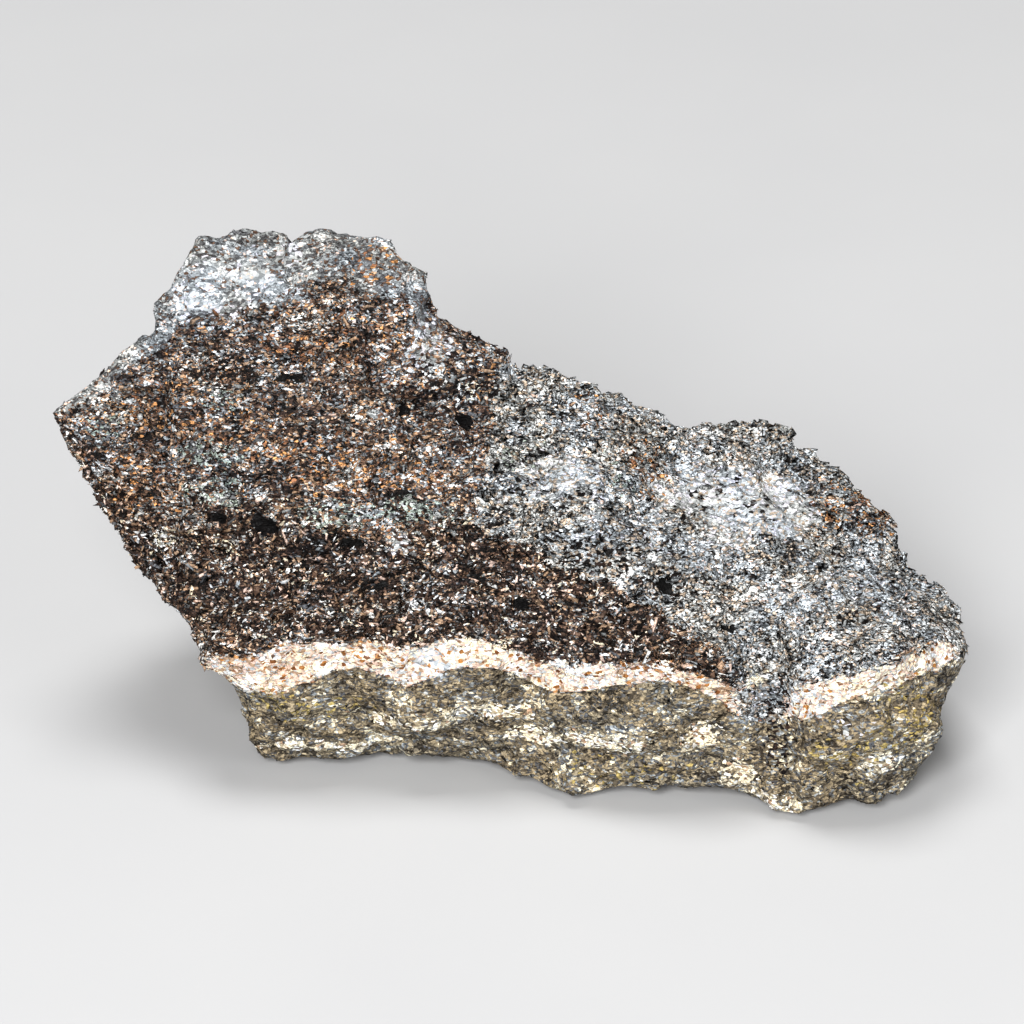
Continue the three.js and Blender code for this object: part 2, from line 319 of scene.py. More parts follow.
    def corner(self, line: Line, x: np.ndarray) -> np.ndarray:
        """A line's points at the given x, straight between the points that it is given by."""
        known = np.array((self.left_tip, *line, self.right_tip))
        return np.stack([x, *(np.interp(x, known[:, 0], known[:, n]) for n in (1, 2))], axis=-1)

    def between(self, four: list[np.ndarray], share: np.ndarray) -> np.ndarray:
        """Points from the second corner to the third: a straight line mixed with a rounded curve.

        The curve is a centripetal Catmull-Rom spline, whose slope at a corner comes from the divided
        differences to its two neighbours, each over the square root of the distance between them.

        Args:
            four: the corners before, at the two ends and after, each of shape (rings, 3).
            share: how far along, from 0 to 1.

        Returns:
            Points of shape (rings, len(share), 3).
        """
        a, b, c, d = (corner[:, None] for corner in four)
        steps = ((a, b), (b, c), (c, d))
        gap = [np.maximum(np.linalg.norm(q - p, axis=-1, keepdims=True), 1e-6) ** 0.5 for p, q in steps]
        start = gap[1] * ((b - a) / gap[0] - (c - a) / (gap[0] + gap[1]) + (c - b) / gap[1])
        end = gap[1] * ((c - b) / gap[1] - (d - b) / (gap[1] + gap[2]) + (d - c) / gap[2])
        t = share[None, :, None]
        curve = b + start * t + (3 * (c - b) - 2 * start - end) * t**2 + (2 * (b - c) + start + end) * t**3
        straight = b + (c - b) * t
        return straight + (curve - straight) * self.rounding

    def grid(self) -> tuple[np.ndarray, np.ndarray]:
        """The plain form's points, and where each column lies round the stone.

        Returns:
            Points of shape (rings, columns, 3) in mm, and for each column the number of the line
            below it plus its share of the way to the next one.
        """
        x = self.ring_x()
        corners = [self.corner(line, x) for line, _ in self.strips]
        count = len(corners)
        points, band = [], []
        for n, (_, columns) in enumerate(self.strips):
            share = np.arange(columns) / columns
            points.append(self.between([corners[(n + k) % count] for k in (-1, 0, 1, 2)], share))
            band.append(n + share)
        return np.concatenate(points, axis=1), np.concatenate(band)


@dataclass
class Relief:
    """The broken surface over the plain form. Sizes and heights are in mm."""

    broad_lumps: tuple[tuple[float, float, int], ...] = ((17, 0.9, 1), (8, 0.5, 2))
    broad_chips: tuple[tuple[float, float, int], ...] = ((12, 1.7, 3), (5.5, 1.1, 4))
    quiet_end: float = 8
    quiet_sole: float = 2
    fine_chips: tuple[tuple[float, float, int], ...] = ((2.8, 0.7, 11), (1.3, 0.34, 12))
    fine_lumps: tuple[tuple[float, float, int], ...] = ((1.0, 0.18, 13), (0.6, 0.14, 14))
    ledge_size: tuple[float, float, float] = (4.5, 4.5, 0.8)
    ledge_height: float = 0.4
    ledge_salt: int = 15
    crack_size: tuple[float, float, float] = (7.0, 5.0, 2.6)
    crack_depth: float = 0.55
    crack_width: float = 0.14  # as a share of the noise's height
    crack_salt: int = 16
    hollows: tuple[Hollow, ...] = (
        Hollow((-38, -8, 23.5), (6, -13, 22.5), 6, 0.9),  # the crumbling dark bed
        Hollow((-41, -5, 23.4), (-37, -8.5, 22.4), 2, 1.5),  # its open left end
        Hollow((-41.5, -6, 20), (-38.5, -9, 18.6), 2.6, -1.4),  # and the lobe under that
        Hollow((2, 6, 36.5), (-1, -5, 31.5), 3.5, 0.9),  # step beside the hump
        Hollow((21, 0, 28), (32, -1, 26.5), 9, 1),  # pale scoop in the right shoulder
        Hollow((28, -20.5, 14), (30.5, -23, 3), 3.5, 1.6),  # gully in the front wall
        Hollow((-27, -15, 8.5), (-10, -16, 9), 7, -0.9),  # the wall's three swellings
        Hollow((11, -19.5, 9), (21, -21, 9), 6.5, -0.9),
        Hollow((37, -23, 9), (44, -20, 11), 6.5, -0.8),
        Hollow((1, -16.5, 12), (4, -18.5, 3), 4, 0.9),  # the dip between the first two
        Hollow((5, -18.5, 5.5), (20, -20.5, 6.5), 1.6, 0.8),  # bedding steps in the wall
        Hollow((-25, -14, 4), (-8, -15, 4.5), 1.6, 0.7),
        Hollow((33, -23.5, 6), (42, -22, 7.5), 1.8, 0.7),
        Hollow((4, -17, 16), (2, -12, 22), 3, 0.8),  # sag in the brow above it
        Hollow((-27, -7.5, 28), (-26.5, -7.5, 28), 2.6, 1.4),  # pits in the face
        Hollow((-18, -10, 27), (-16, -10, 27), 2.4, 1.2),
        Hollow((1.5, -14, 21.5), (2, -14, 21.5), 2.4, 1.2),
        Hollow((17, -12, 23), (17, -11, 23.5), 2.6, 1.2),
        Hollow((-11, 0, 38.5), (-4, 1.5, 37), 2, 0.9),
        Hollow((-24.5, 12.5, 51), (-32, 8.5, 47), 1.8, -0.7),  # vein across the hump
        Hollow((-32, 8.5, 47), (-37.5, 9, 45.5), 1.8, -0.6),
        Hollow((-38.5, 10, 46), (-37, 11, 49), 3, -0.6),  # the hump's left shoulder
        Hollow((-28, 23, 32), (-10, 24, 24), 9, 1.3),  # hollows in the back wall
        Hollow((12, 24, 20), (28, 22, 14), 8, 1.3),
    )
    pits: tuple[Hollow, ...] = (
        Hollow((-27.2, -7.5, 28), (-26.2, -7.5, 28), 1.6, 1.1),
        Hollow((-18.2, -10, 27), (-16.2, -10, 27), 1.2, 1.1),
        Hollow((-33, -6, 28), (-31, -6.2, 27.8), 1.0, 0.9),
        Hollow((1.5, -14, 21.5), (2, -14, 21.5), 1.3, 1.0),
        Hollow((7.2, -10.2, 26.7), (7.8, -10.2, 26.5), 1.0, 0.9),
        Hollow((17, -12, 23), (17, -11, 23.5), 1.4, 1.1),
        Hollow((-11.5, 0.2, 38.5), (-10, 0.2, 38.5), 1.1, 0.9),
        Hollow((-4.5, 1.6, 37), (-3.5, 1.6, 37), 1.2, 0.9),
        Hollow((13.8, -13.5, 21.8), (14.4, -13.7, 21.6), 1.1, 0.9),
        Hollow((-14.5, -12.6, 23.4), (-13.5, -12.6, 23.2), 0.9, 0.8),
        Hollow((-22, -11.2, 25), (-21.4, -11.2, 25), 0.8, 0.7),
        Hollow((-4, -12.4, 24.4), (-3, -12.4, 24.2), 0.9, 0.8),
        Hollow((23, -14.5, 19.5), (24, -14.8, 19), 1.0, 0.8),
        Hollow((-25, 2.6, 41), (-23.4, 2.6, 41), 0.8, 0.6),
        Hollow((-15, -5, 32), (-14.4, -5, 32), 0.8, 0.6),
        Hollow((28.4, -20.8, 13.2), (28.8, -21, 12.6), 1.1, 0.8),
    )

    def in_pits(self, points: np.ndarray) -> np.ndarray:
        """How far inside a pit each point is, from 0 at its rim to 1 in its middle."""
        return np.max([pit.below(points) / pit.depth for pit in self.pits], axis=0)

    def quiet(self, points: np.ndarray, form: StoneForm) -> np.ndarray:
        """Share of the relief that a point takes: it fades out near both tips and near the sole."""
        tips = [np.linalg.norm(points - np.array(tip), axis=-1) for tip in (form.left_tip, form.right_tip)]
        return ease(np.minimum(*tips), 0, self.quiet_end) * ease(points[..., 2], 0, self.quiet_sole)

    def broad(self, points: np.ndarray) -> np.ndarray:
        """The relief that the frame's solid has too: lumps and chips, less the hollows."""
        height = sum(h * lumps(points, size, salt) for size, h, salt in self.broad_lumps)
        height = height + sum(h * chips(points, size, salt) for size, h, salt in self.broad_chips)
        return height - sum(hollow.below(points) for hollow in self.hollows)

    def fine(self, points: np.ndarray, coarseness: np.ndarray, layered: np.ndarray) -> np.ndarray:
        """The relief too small for the frame's solid: chips, grit, the bedding's ledges, and cracks.

        A crack runs wherever a broad noise, drawn out along the bedding, passes through zero.

        Args:
            points: positions in mm.
            coarseness: how rough the rock is at each point, about 1.
            layered: how far its bedding shows as ledges at each point, from 0 to 1.

        Returns:
            One height for each point, in mm.
        """
        chip = sum(h * chips(points, size, salt) for size, h, salt in self.fine_chips)
        grit = sum(h * lumps(points, size, salt) for size, h, salt in self.fine_lumps)
        ledges = lumps(points / np.array(self.ledge_size), 1, self.ledge_salt) * self.ledge_height
        noise = lumps(points / np.array(self.crack_size), 1, self.crack_salt)
        crack = 1 - ease(np.abs(noise), 0, self.crack_width)
        pits = sum(pit.below(points) for pit in self.pits)
        return coarseness * (chip + grit) + layered * ledges - self.crack_depth * crack - pits


@dataclass(frozen=True)
class Patch:
    """A stained or painted-shade area round a point of the skin, in mm. Its strength is the most that it
    reaches.
    """

    at: tuple[float, float, float]
    reach: tuple[float, float, float]
    strength: float = 1.0


PATCHES: dict[StainOrShade, tuple[Patch, ...]] = {
    StainOrShade.RUST: (
        Patch((-39, 3, 35), (6, 5, 3)),
        Patch((-30, -1, 35), (9, 5, 2.2)),
        Patch((-17, -4, 33.5), (7, 5, 2.2)),
        Patch((-14, -5, 32), (9, 5, 1.6)),
        Patch((-33, 2, 39), (8, 5, 3), 0.8),
        Patch((-12, 6, 44), (5, 5, 3), 0.8),
        Patch((-22, 5, 43), (7, 5, 2.5), 0.7),
        Patch((-41, -1, 29), (3.5, 5, 3), 0.9),
        Patch((14.5, 2.2, 30.7), (3, 3, 2)),
        Patch((16.2, -0.2, 28.2), (2.5, 3, 2.5)),
        Patch((35.5, 2, 25), (4, 6, 2.5)),
        Patch((40.1, 4, 23.3), (4, 6, 3)),
        Patch((10, 6, 35), (7, 3, 2), 0.5),
        Patch((-14, 10, 50.5), (5, 4, 2), 0.6),
        Patch((-15, -16, 15.8), (3.6, 3, 1.8)),
        Patch((-26, -14.5, 16), (6, 3, 1.6), 0.9),
        Patch((14.4, -20.5, 17), (5, 3, 1.4), 0.6),
        Patch((-31, -12.5, 14), (4, 4, 3), 0.4),
    ),
    StainOrShade.FROST: (
        Patch((23.3, 0.2, 26.8), (8, 7, 3.5)),
        Patch((30, 0, 26), (6, 6, 3)),
        Patch((5, -3.5, 31), (6, 5, 4), 0.7),
        Patch((9, -10, 26), (5, 5, 4), 0.5),
        Patch((-31, 9, 48), (9, 5, 4), 0.42),
        Patch((-8.5, 6, 43), (4, 5, 4), 0.8),
        Patch((-24.5, 12, 51), (1.6, 2, 1.2)),
        Patch((-28, 10, 49), (2.4, 3, 1)),
        Patch((-33.5, 8, 46.5), (3.4, 3, 0.9)),
        Patch((27.7, -19.7, 13.6), (3, 3, 3), 0.5),
        Patch((-8.7, -16.6, 15.6), (3.6, 3, 2), 0.9),
        Patch((38, -10, 21), (9, 7, 5), 0.25),
        Patch((18, -9, 25), (8, 6, 4), 0.3),
        Patch((38, -24.5, 11.5), (3, 3, 1.5), 0.5),
        Patch((-11.8, -10.1, 26.5), (1.4, 2, 0.9)),
    ),
    StainOrShade.CREAM: (
        Patch((10, -20.6, 7.8), (4.5, 4, 1.1)),
        Patch((3.5, -17.7, 6.8), (4, 4, 1.2)),
        Patch((20.8, -21, 8.5), (2.2, 3, 2.6)),
        Patch((24.9, -21.6, 4), (2, 3, 2)),
        Patch((-2, -16.5, 9.5), (6, 4, 1), 0.7),
        Patch((-12, -16, 8.2), (7, 4, 0.8), 0.7),
        Patch((-22, -14, 3.2), (7, 4, 0.7), 0.8),
        Patch((28.5, -22.5, 1.6), (3, 3, 1.2), 0.8),
        Patch((40, -22, 7), (3, 4, 1.5), 0.5),
        Patch((38, -24, 16.5), (8, 4, 2.2), 0.6),
        Patch((-3.5, -16.8, 17), (4, 3, 1.6), 0.6),
        Patch((-4.2, 3.8, 38.0), (1.4, 2, 1.0)),  # and single pale crystals
        Patch((26.8, -19.6, 14.9), (1.4, 1.5, 1.1)),
        Patch((-37.9, -4.5, 24.0), (1.5, 2, 1.0)),
        Patch((-30.6, -7.8, 24.8), (1.2, 2, 0.8)),
    ),
    StainOrShade.MOSS: (
        Patch((-24.5, -15, 10), (4, 4, 2.5)),
        Patch((-18, -15.5, 9), (4, 4, 2), 0.6),
        Patch((42, -22, 12), (5, 4, 4)),
        Patch((35, -24, 8), (5, 4, 4), 0.6),
        Patch((12, -20, 4), (9, 4, 2.5), 0.5),
    ),
    # painted shade, not a stain: darkening down the front wall's gully and round the pits in the face
    StainOrShade.PAINTED_SHADE: (
        Patch((29, -21.5, 10), (1.8, 3, 5), 0.6),
        Patch((-28, -7, 27), (4, 3, 1.6), 0.5),
        Patch((-17, -10, 26), (4, 3, 1.5), 0.5),
        Patch((8, -11.5, 25), (6, 3, 3), 0.7),
        Patch((17, -12, 23), (4, 3, 3), 0.7),
        Patch((-6, 3, 39), (7, 4, 3), 0.7),
        Patch((-30, 2, 41), (6, 5, 2), 0.5),
    ),
    StainOrShade.SAGE: (
        Patch((-33, -2, 33.5), (3.5, 4, 1.5)),
        Patch((-32.5, -5, 30), (5.5, 3, 1.6)),
        Patch((-18, -8.6, 29), (5, 3, 1.4)),
        Patch((-9.5, -8, 29.3), (6, 3, 1.2)),
        Patch((-31, 1.5, 38.5), (3, 4, 1.3), 0.7),
        Patch((-44, 2, 34), (2.5, 4, 1.5), 0.7),
        Patch((2, -1, 32), (3, 5, 3), 0.5),
        Patch((11, -2, 30.5), (5, 4, 2), 0.5),
    ),
}


@dataclass
class Bedding:
    """Where each bed, each stain and each patch of painted shade shows on the skin."""

    ragged_noise: tuple[tuple[float, float], ...] = ((5.0, 0.6), (1.6, 0.5))
    soft: float = 0.05  # half width of an edge that follows a line, as a share of the way to the next
    soft_mm: float = 0.6  # half width of an edge that lies at a place or a level
    line_wander: float = 0.13
    front: tuple[float, float] = (Mark.SOLE_FRONT + 0.06, Mark.CREST + 0.25)
    left_end: float = -30.5
    seam_ends: tuple[float, float] = (-33.0, 48.5)
    seam_gap: tuple[float, float] = (24.8, 29.6)
    tip_dark: tuple[float, float] = (-15.0, 5.0)  # where it ends, and how softly
    rim_end: tuple[float, float] = (-8.5, 1.0)
    bed_x: tuple[float, ...] = (-50, -5, 2, 12, 20, 26)
    bed_top: tuple[float, ...] = (4.12, 4.05, 3.95, 3.7, 3.35, 3.0)
    side_band: tuple[float, ...] = (3.0, 4.0, 5.0, 6.0)
    side_x: tuple[float, ...] = (3.0, -3.5, -1.0, 1.0)
    side_wander: float = 1.5
    lens_x: tuple[float, ...] = (-22, -20, -16, -12.5, -11, -9, -4, 1, 2.5)
    lens_rise: tuple[float, ...] = (0, 0.2, 0.4, 0.2, 0, 0.15, 0.3, 0.15, 0)
    level_wander: float = 1.6
    level_dip: float = 0.05
    back_levels: tuple[float, float, float, float] = (12.9, 15.7, 24.5, 47.0)
    back_side: float = 3.0
    back_lumps: tuple[float, float] = (13.0, 7.0)
    back_ragged: float = 3.0
    back_lean: float = -0.4
    back_middle: float = 25.0  # the height in mm that the lean turns about
    patches: dict[StainOrShade, tuple[Patch, ...]] = field(default_factory=lambda: PATCHES)
    patch_edge: tuple[float, float] = (0.45, 1.25)  # as shares of a patch's reach
    patch_wander: float = 0.45
    line_salt: int = 21
    level_salt: int = 23
    side_salt: int = 25
    patch_salt: int = 31
    back_salt: int = 41

    def ragged(self, points: np.ndarray, salt: int) -> np.ndarray:
        """Uneven offset for the edges between beds, from about -1 to 1."""
        noise = enumerate(self.ragged_noise)
        return sum(share * lumps(points, size, salt + n) for n, (size, share) in noise)

    def masks(self, points: np.ndarray, band: np.ndarray) -> dict[Bed, np.ndarray]:
        """How much of each bed shows at each point; the beds together make 1.

        The front is told apart by the lines that the loft runs through. The back is told apart by
        level, and so is the left end below the seam's foot, where the lines run up to the tip. So each
        bed goes through the whole stone.

        Args:
            points: positions in mm, of shape (rings, columns, 3).
            band: for each column, the number of its line and the share of the way to the next.

        Returns:
            One array of shape (rings, columns) for each bed.
        """
        x, z = points[..., 0], points[..., 2]
        b = band + self.line_wander * self.ragged(points, self.line_salt)
        level = z + self.level_wander * self.ragged(points, self.level_salt) - self.level_dip * x

        foot = rise(b - np.interp(x, self.lens_x, self.lens_rise), Mark.SEAM_FOOT, self.soft)
        left_end = (1 - foot) * (1 - rise(x, self.left_end, self.soft_mm))
        in_front = within(band, *self.front, self.soft) * (1 - left_end)
        over_brow = rise(b, Mark.BROW, self.soft)
        has_seam = within(x, *self.seam_ends, 2 * self.soft_mm)
        seam = foot * (1 - over_brow) * (1 - within(x, *self.seam_gap, self.soft_mm)) * has_seam
        dark = over_brow * (1 - rise(b, np.interp(x, self.bed_x, self.bed_top), self.soft))
        tip_dark = foot * (1 - over_brow) * (1 - has_seam) * (1 - rise(x, *self.tip_dark))
        dark = np.maximum(dark, tip_dark)
        rim = rise(b, Mark.RIM_FOOT, self.soft) * (1 - rise(x, *self.rim_end))
        rest = np.clip(foot - seam - dark - rim, 0, 1)
        side = np.interp(b, self.side_band, self.side_x)
        side = side - self.side_wander * self.ragged(points, self.side_salt)
        right = rise(x, side, self.soft_mm)
        front = {
            Bed.SEAM: seam,
            Bed.WALL: 1 - foot,
            Bed.DARK: dark,
            Bed.RIM: rim,
            Bed.FACE: rest * (1 - right),
            Bed.PALE: rest * right,
        }

        over_foot, over_seam, over_dark, over_face = (
            rise(level, at, self.soft_mm) for at in self.back_levels
        )
        size, share = self.back_lumps
        wander = share * lumps(points, size, self.back_salt)
        wander = wander + self.back_ragged * self.ragged(points, self.back_salt + 2)
        wander = wander + self.back_lean * (z - self.back_middle)
        right = rise(x, self.back_side - wander, 2 * self.soft_mm)
        behind = {
            Bed.SEAM: over_foot * (1 - over_seam),
            Bed.WALL: 1 - over_foot,
            Bed.DARK: over_seam * (1 - over_dark) * (1 - right),
            Bed.RIM: over_face,
            Bed.FACE: over_dark * (1 - over_face) * (1 - right),
            Bed.PALE: over_seam * (1 - over_face) * right,
        }
        mixed = {bed: in_front * front[bed] + (1 - in_front) * behind[bed] for bed in Bed}
        total = sum(mixed.values())
        return {bed: mask / np.maximum(total, 1e-6) for bed, mask in mixed.items()}

    def stains_and_shade(self, points: np.ndarray) -> dict[StainOrShade, np.ndarray]:
        """How strong each stain and each painted shade is at each point: 1 in the middle of its patches,
        with ragged edges.
        """
        found = {}
        for n, (stain_or_shade, patches) in enumerate(self.patches.items()):
            ragged = self.patch_wander * self.ragged(points, self.patch_salt + 3 * n)
            strength = np.zeros(points.shape[:-1])
            for patch in patches:
                away = np.linalg.norm((points - np.array(patch.at)) / np.array(patch.reach), axis=-1)
                here = patch.strength * (1 - ease(away + ragged, *self.patch_edge))
                strength = np.maximum(strength, here)
            found[stain_or_shade] = strength
        return found


@dataclass(frozen=True)
class Speckle:
    """The minerals of one bed: each colour, and the share of the grains that has it."""

    colours: tuple[tuple[tuple[int, int, int], float], ...]

    def edges(self) -> np.ndarray:
        """The running sum of the shares, from 0 up to just below 1, where each colour begins."""
        share = np.array([s for _, s in self.colours])
        return np.concatenate([[0], np.cumsum(share / share.sum())[:-1]])

    def pick(self, chances: np.ndarray) -> np.ndarray:
        """The linear colour, as rows of four, that goes with each number from 0 to 1."""
        table = np.array([linear(c) for c, _ in self.colours])
        return table[np.searchsorted(self.edges(), chances, side="right") - 1]


BLACK, UMBER, BROWN, TAN = (18, 14, 13), (48, 36, 31), (88, 68, 56), (150, 124, 102)
RUST, OCHRE, PINK, CREAM = (116, 80, 58), (172, 124, 80), (205, 178, 164), (226, 214, 190)
LEAD, SLATE, ASH, CHALK = (78, 79, 82), (122, 126, 129), (166, 170, 173), (208, 210, 212)
SNOW, OLIVE, KHAKI, PEAT = (246, 243, 239), (99, 90, 76), (145, 132, 109), (50, 45, 38)
SAGE, GOLD, MIST, DUN = (134, 144, 138), (156, 138, 86), (198, 198, 209), (152, 138, 124)

MINERALS: dict[Bed, Speckle] = {
    Bed.FACE: Speckle(
        ((BLACK, 0.07), (UMBER, 0.16), (BROWN, 0.15), (LEAD, 0.13), (RUST, 0.04), (SLATE, 0.13))
        + ((TAN, 0.13), (OCHRE, 0.03), (ASH, 0.09), (PINK, 0.04), (CHALK, 0.03))
    ),
    Bed.DARK: Speckle(
        ((BLACK, 0.24), (UMBER, 0.24), (BROWN, 0.16), (LEAD, 0.08))
        + ((TAN, 0.1), (SLATE, 0.05), (PINK, 0.05), (CREAM, 0.03), (CHALK, 0.05))
    ),
    Bed.SEAM: Speckle(
        ((TAN, 0.1), (ASH, 0.14), (PINK, 0.27), (CREAM, 0.24), (CHALK, 0.16), (SNOW, 0.09))
    ),
    Bed.WALL: Speckle(
        ((PEAT, 0.08), (OLIVE, 0.28), (LEAD, 0.13), (KHAKI, 0.31), (SLATE, 0.1), (ASH, 0.07), (CREAM, 0.03))
    ),
    Bed.PALE: Speckle(
        ((BLACK, 0.01), (UMBER, 0.03), (LEAD, 0.08), (SLATE, 0.2), (DUN, 0.19))
        + ((ASH, 0.35), (PINK, 0.05), (CHALK, 0.09))
    ),
    Bed.RIM: Speckle(((LEAD, 0.22), (BROWN, 0.1), (SLATE, 0.3), (ASH, 0.24), (PINK, 0.06), (CHALK, 0.08))),
}

STAINED_OR_SHADED: dict[StainOrShade, Speckle] = {
    StainOrShade.RUST: Speckle(((BROWN, 0.22), (RUST, 0.3), (TAN, 0.18), (OCHRE, 0.3))),
    StainOrShade.SAGE: Speckle(((LEAD, 0.25), (SAGE, 0.5), (ASH, 0.25))),
    StainOrShade.FROST: Speckle(((SLATE, 0.22), (ASH, 0.46), (MIST, 0.32))),
    StainOrShade.CREAM: Speckle(((TAN, 0.12), (CREAM, 0.6), (SNOW, 0.28))),
    StainOrShade.MOSS: Speckle(((OLIVE, 0.25), (KHAKI, 0.3), (GOLD, 0.45))),
    # painted shade: black and umber round the pits and in the gully
    StainOrShade.PAINTED_SHADE: Speckle(((BLACK, 0.7), (UMBER, 0.3))),
    # painted shade: near black inside the pits
    StainOrShade.PIT_SHADE: Speckle((((6, 5, 5), 0.9), (BLACK, 0.1))),
}
STAIN_OR_SHADE_SHARE: dict[StainOrShade, float] = {
    StainOrShade.RUST: 0.32,
    StainOrShade.SAGE: 0.62,
    StainOrShade.FROST: 0.52,
    StainOrShade.CREAM: 0.85,
    StainOrShade.MOSS: 0.42,
    # the painted shade takes about half the grains round the pits and in the gully, and all of them inside
    # the pits
    StainOrShade.PAINTED_SHADE: 0.55,
    StainOrShade.PIT_SHADE: 1.0,
}
COARSENESS: dict[Bed, float] = {
    Bed.FACE: 0.75,
    Bed.DARK: 1.25,
    Bed.SEAM: 0.55,
    Bed.WALL: 0.8,
    Bed.PALE: 1.0,
    Bed.RIM: 0.7,
}


class NodeTree:
    """A material's node tree, with short calls for the nodes that the stone's finishes use."""

    def __init__(self, name: str) -> None:
        """Starts a material of that name with a Principled shader and nothing else."""
        self.material = bpy.data.materials.new(name)
        self.material.use_nodes = True
        self.tree = self.material.node_tree
        self.shader = self.tree.nodes["Principled BSDF"]

    def node(self, kind: str, **settings: object) -> bpy.types.Node:
        """A new node of that kind, with its plain settings."""
        made = self.tree.nodes.new(kind)
        for name, value in settings.items():
            setattr(made, name, value)
        return made

    def link(self, source: Socket, target: Socket) -> None:
        """Joins two sockets."""
        self.tree.links.new(source, target)

    def fill(self, socket: Socket, value: Value | tuple) -> None:
        """Gives a socket a value, or joins another one to it."""
        if isinstance(value, Socket):
            self.link(value, socket)
        else:
            socket.default_value = value

    def place(self, stretch: tuple[float, float, float] = (1, 1, 1)) -> Socket:
        """Object coordinates in mm, each axis stretched by its own factor."""
        mapping = self.node("ShaderNodeMapping")
        self.link(self.node("ShaderNodeTexCoord").outputs["Object"], mapping.inputs["Vector"])
        mapping.inputs["Scale"].default_value = tuple(s / MM for s in stretch)
        return mapping.outputs["Vector"]

    def mask(self, name: str) -> Socket:
        """A mask that is stored on the mesh."""
        return self.node("ShaderNodeAttribute", attribute_name=name).outputs["Fac"]

    def sum(self, kind: str, a: Value, b: Value, clamp: bool = False) -> Socket:
        """One Math node of that kind on two values."""
        made = self.node("ShaderNodeMath", operation=kind, use_clamp=clamp)
        self.fill(made.inputs[0], a)
        self.fill(made.inputs[1], b)
        return made.outputs[0]

    def mix(self, share: Value, a: Socket, b: Socket | tuple, kind: str = "MIX") -> Socket:
        """Colour a changed towards colour b by a share."""
        made = self.node("ShaderNodeMix", data_type="RGBA", blend_type=kind, clamp_result=True)
        self.fill(made.inputs[0], share)
        self.fill(made.inputs[6], a)
        self.fill(made.inputs[7], b)
        return made.outputs[2]

    def cells(self, place: Socket, per_mm: float, feature: str = "F1") -> bpy.types.Node:
        """A Voronoi texture with that many cells to a millimetre."""
        made = self.node("ShaderNodeTexVoronoi", feature=feature)
        self.link(place, made.inputs["Vector"])
        made.inputs["Scale"].default_value = per_mm
        return made

    def clouds(self, place: Socket, per_mm: float, detail: float) -> bpy.types.Node:
        """A noise texture with that many lumps to a millimetre."""
        made = self.node("ShaderNodeTexNoise")
        self.link(place, made.inputs["Vector"])
        made.inputs["Scale"].default_value = per_mm
        made.inputs["Detail"].default_value = detail
        return made

    def noise(self, place: Socket, per_mm: float, detail: float = 3) -> Socket:
        """The value of a noise texture, about 0.5."""
        return self.clouds(place, per_mm, detail).outputs["Fac"]

    def bend(self, place: Socket, per_mm: float, amount: float) -> Socket:
        """Coordinates moved by up to half that amount each way, by noise with so many lumps to a mm."""
        noise = self.clouds(place, per_mm, detail=2)
        moved = self.node("ShaderNodeVectorMath", operation="MULTIPLY_ADD")
        self.link(noise.outputs["Color"], moved.inputs[0])
        moved.inputs[1].default_value = (amount, amount, amount)
        self.link(place, moved.inputs[2])
        return moved.outputs[0]

    def split(self, colour: Socket) -> list[Socket]:
        """The three channels of a colour."""
        made = self.node("ShaderNodeSeparateColor")
        self.link(colour, made.inputs[0])
        return list(made.outputs)

    def ramp(self, share: Socket, stops: list[tuple[float, tuple]], steps: bool = False) -> Socket:
        """A colour ramp, in steps or blended, through (place, linear colour) stops."""
        made = self.node("ShaderNodeValToRGB")
        self.link(share, made.inputs[0])
        made.color_ramp.interpolation = "CONSTANT" if steps else "LINEAR"
        elements = made.color_ramp.elements
        while len(elements) < len(stops):
            elements.new(1)
        for element, (where, colour) in zip(elements, stops):
            element.position, element.color = where, colour
        return made.outputs[0]

    def surface(self, colour: Socket, roughness: Value, specular: float = 0.5) -> None:
        """Gives the shader its colour, its roughness and how strongly it mirrors."""
        self.link(colour, self.shader.inputs["Base Color"])
        self.fill(self.shader.inputs["Roughness"], roughness)
        self.shader.inputs["Specular IOR Level"].default_value = specular

    def speckle(self, minerals: Speckle, chances: Socket) -> Socket:
        """The colour of each grain of a bed, picked by its random number."""
        stops = [(float(e), linear(c)) for e, (c, _) in zip(minerals.edges(), minerals.colours)]
        return self.ramp(chances, stops, steps=True)


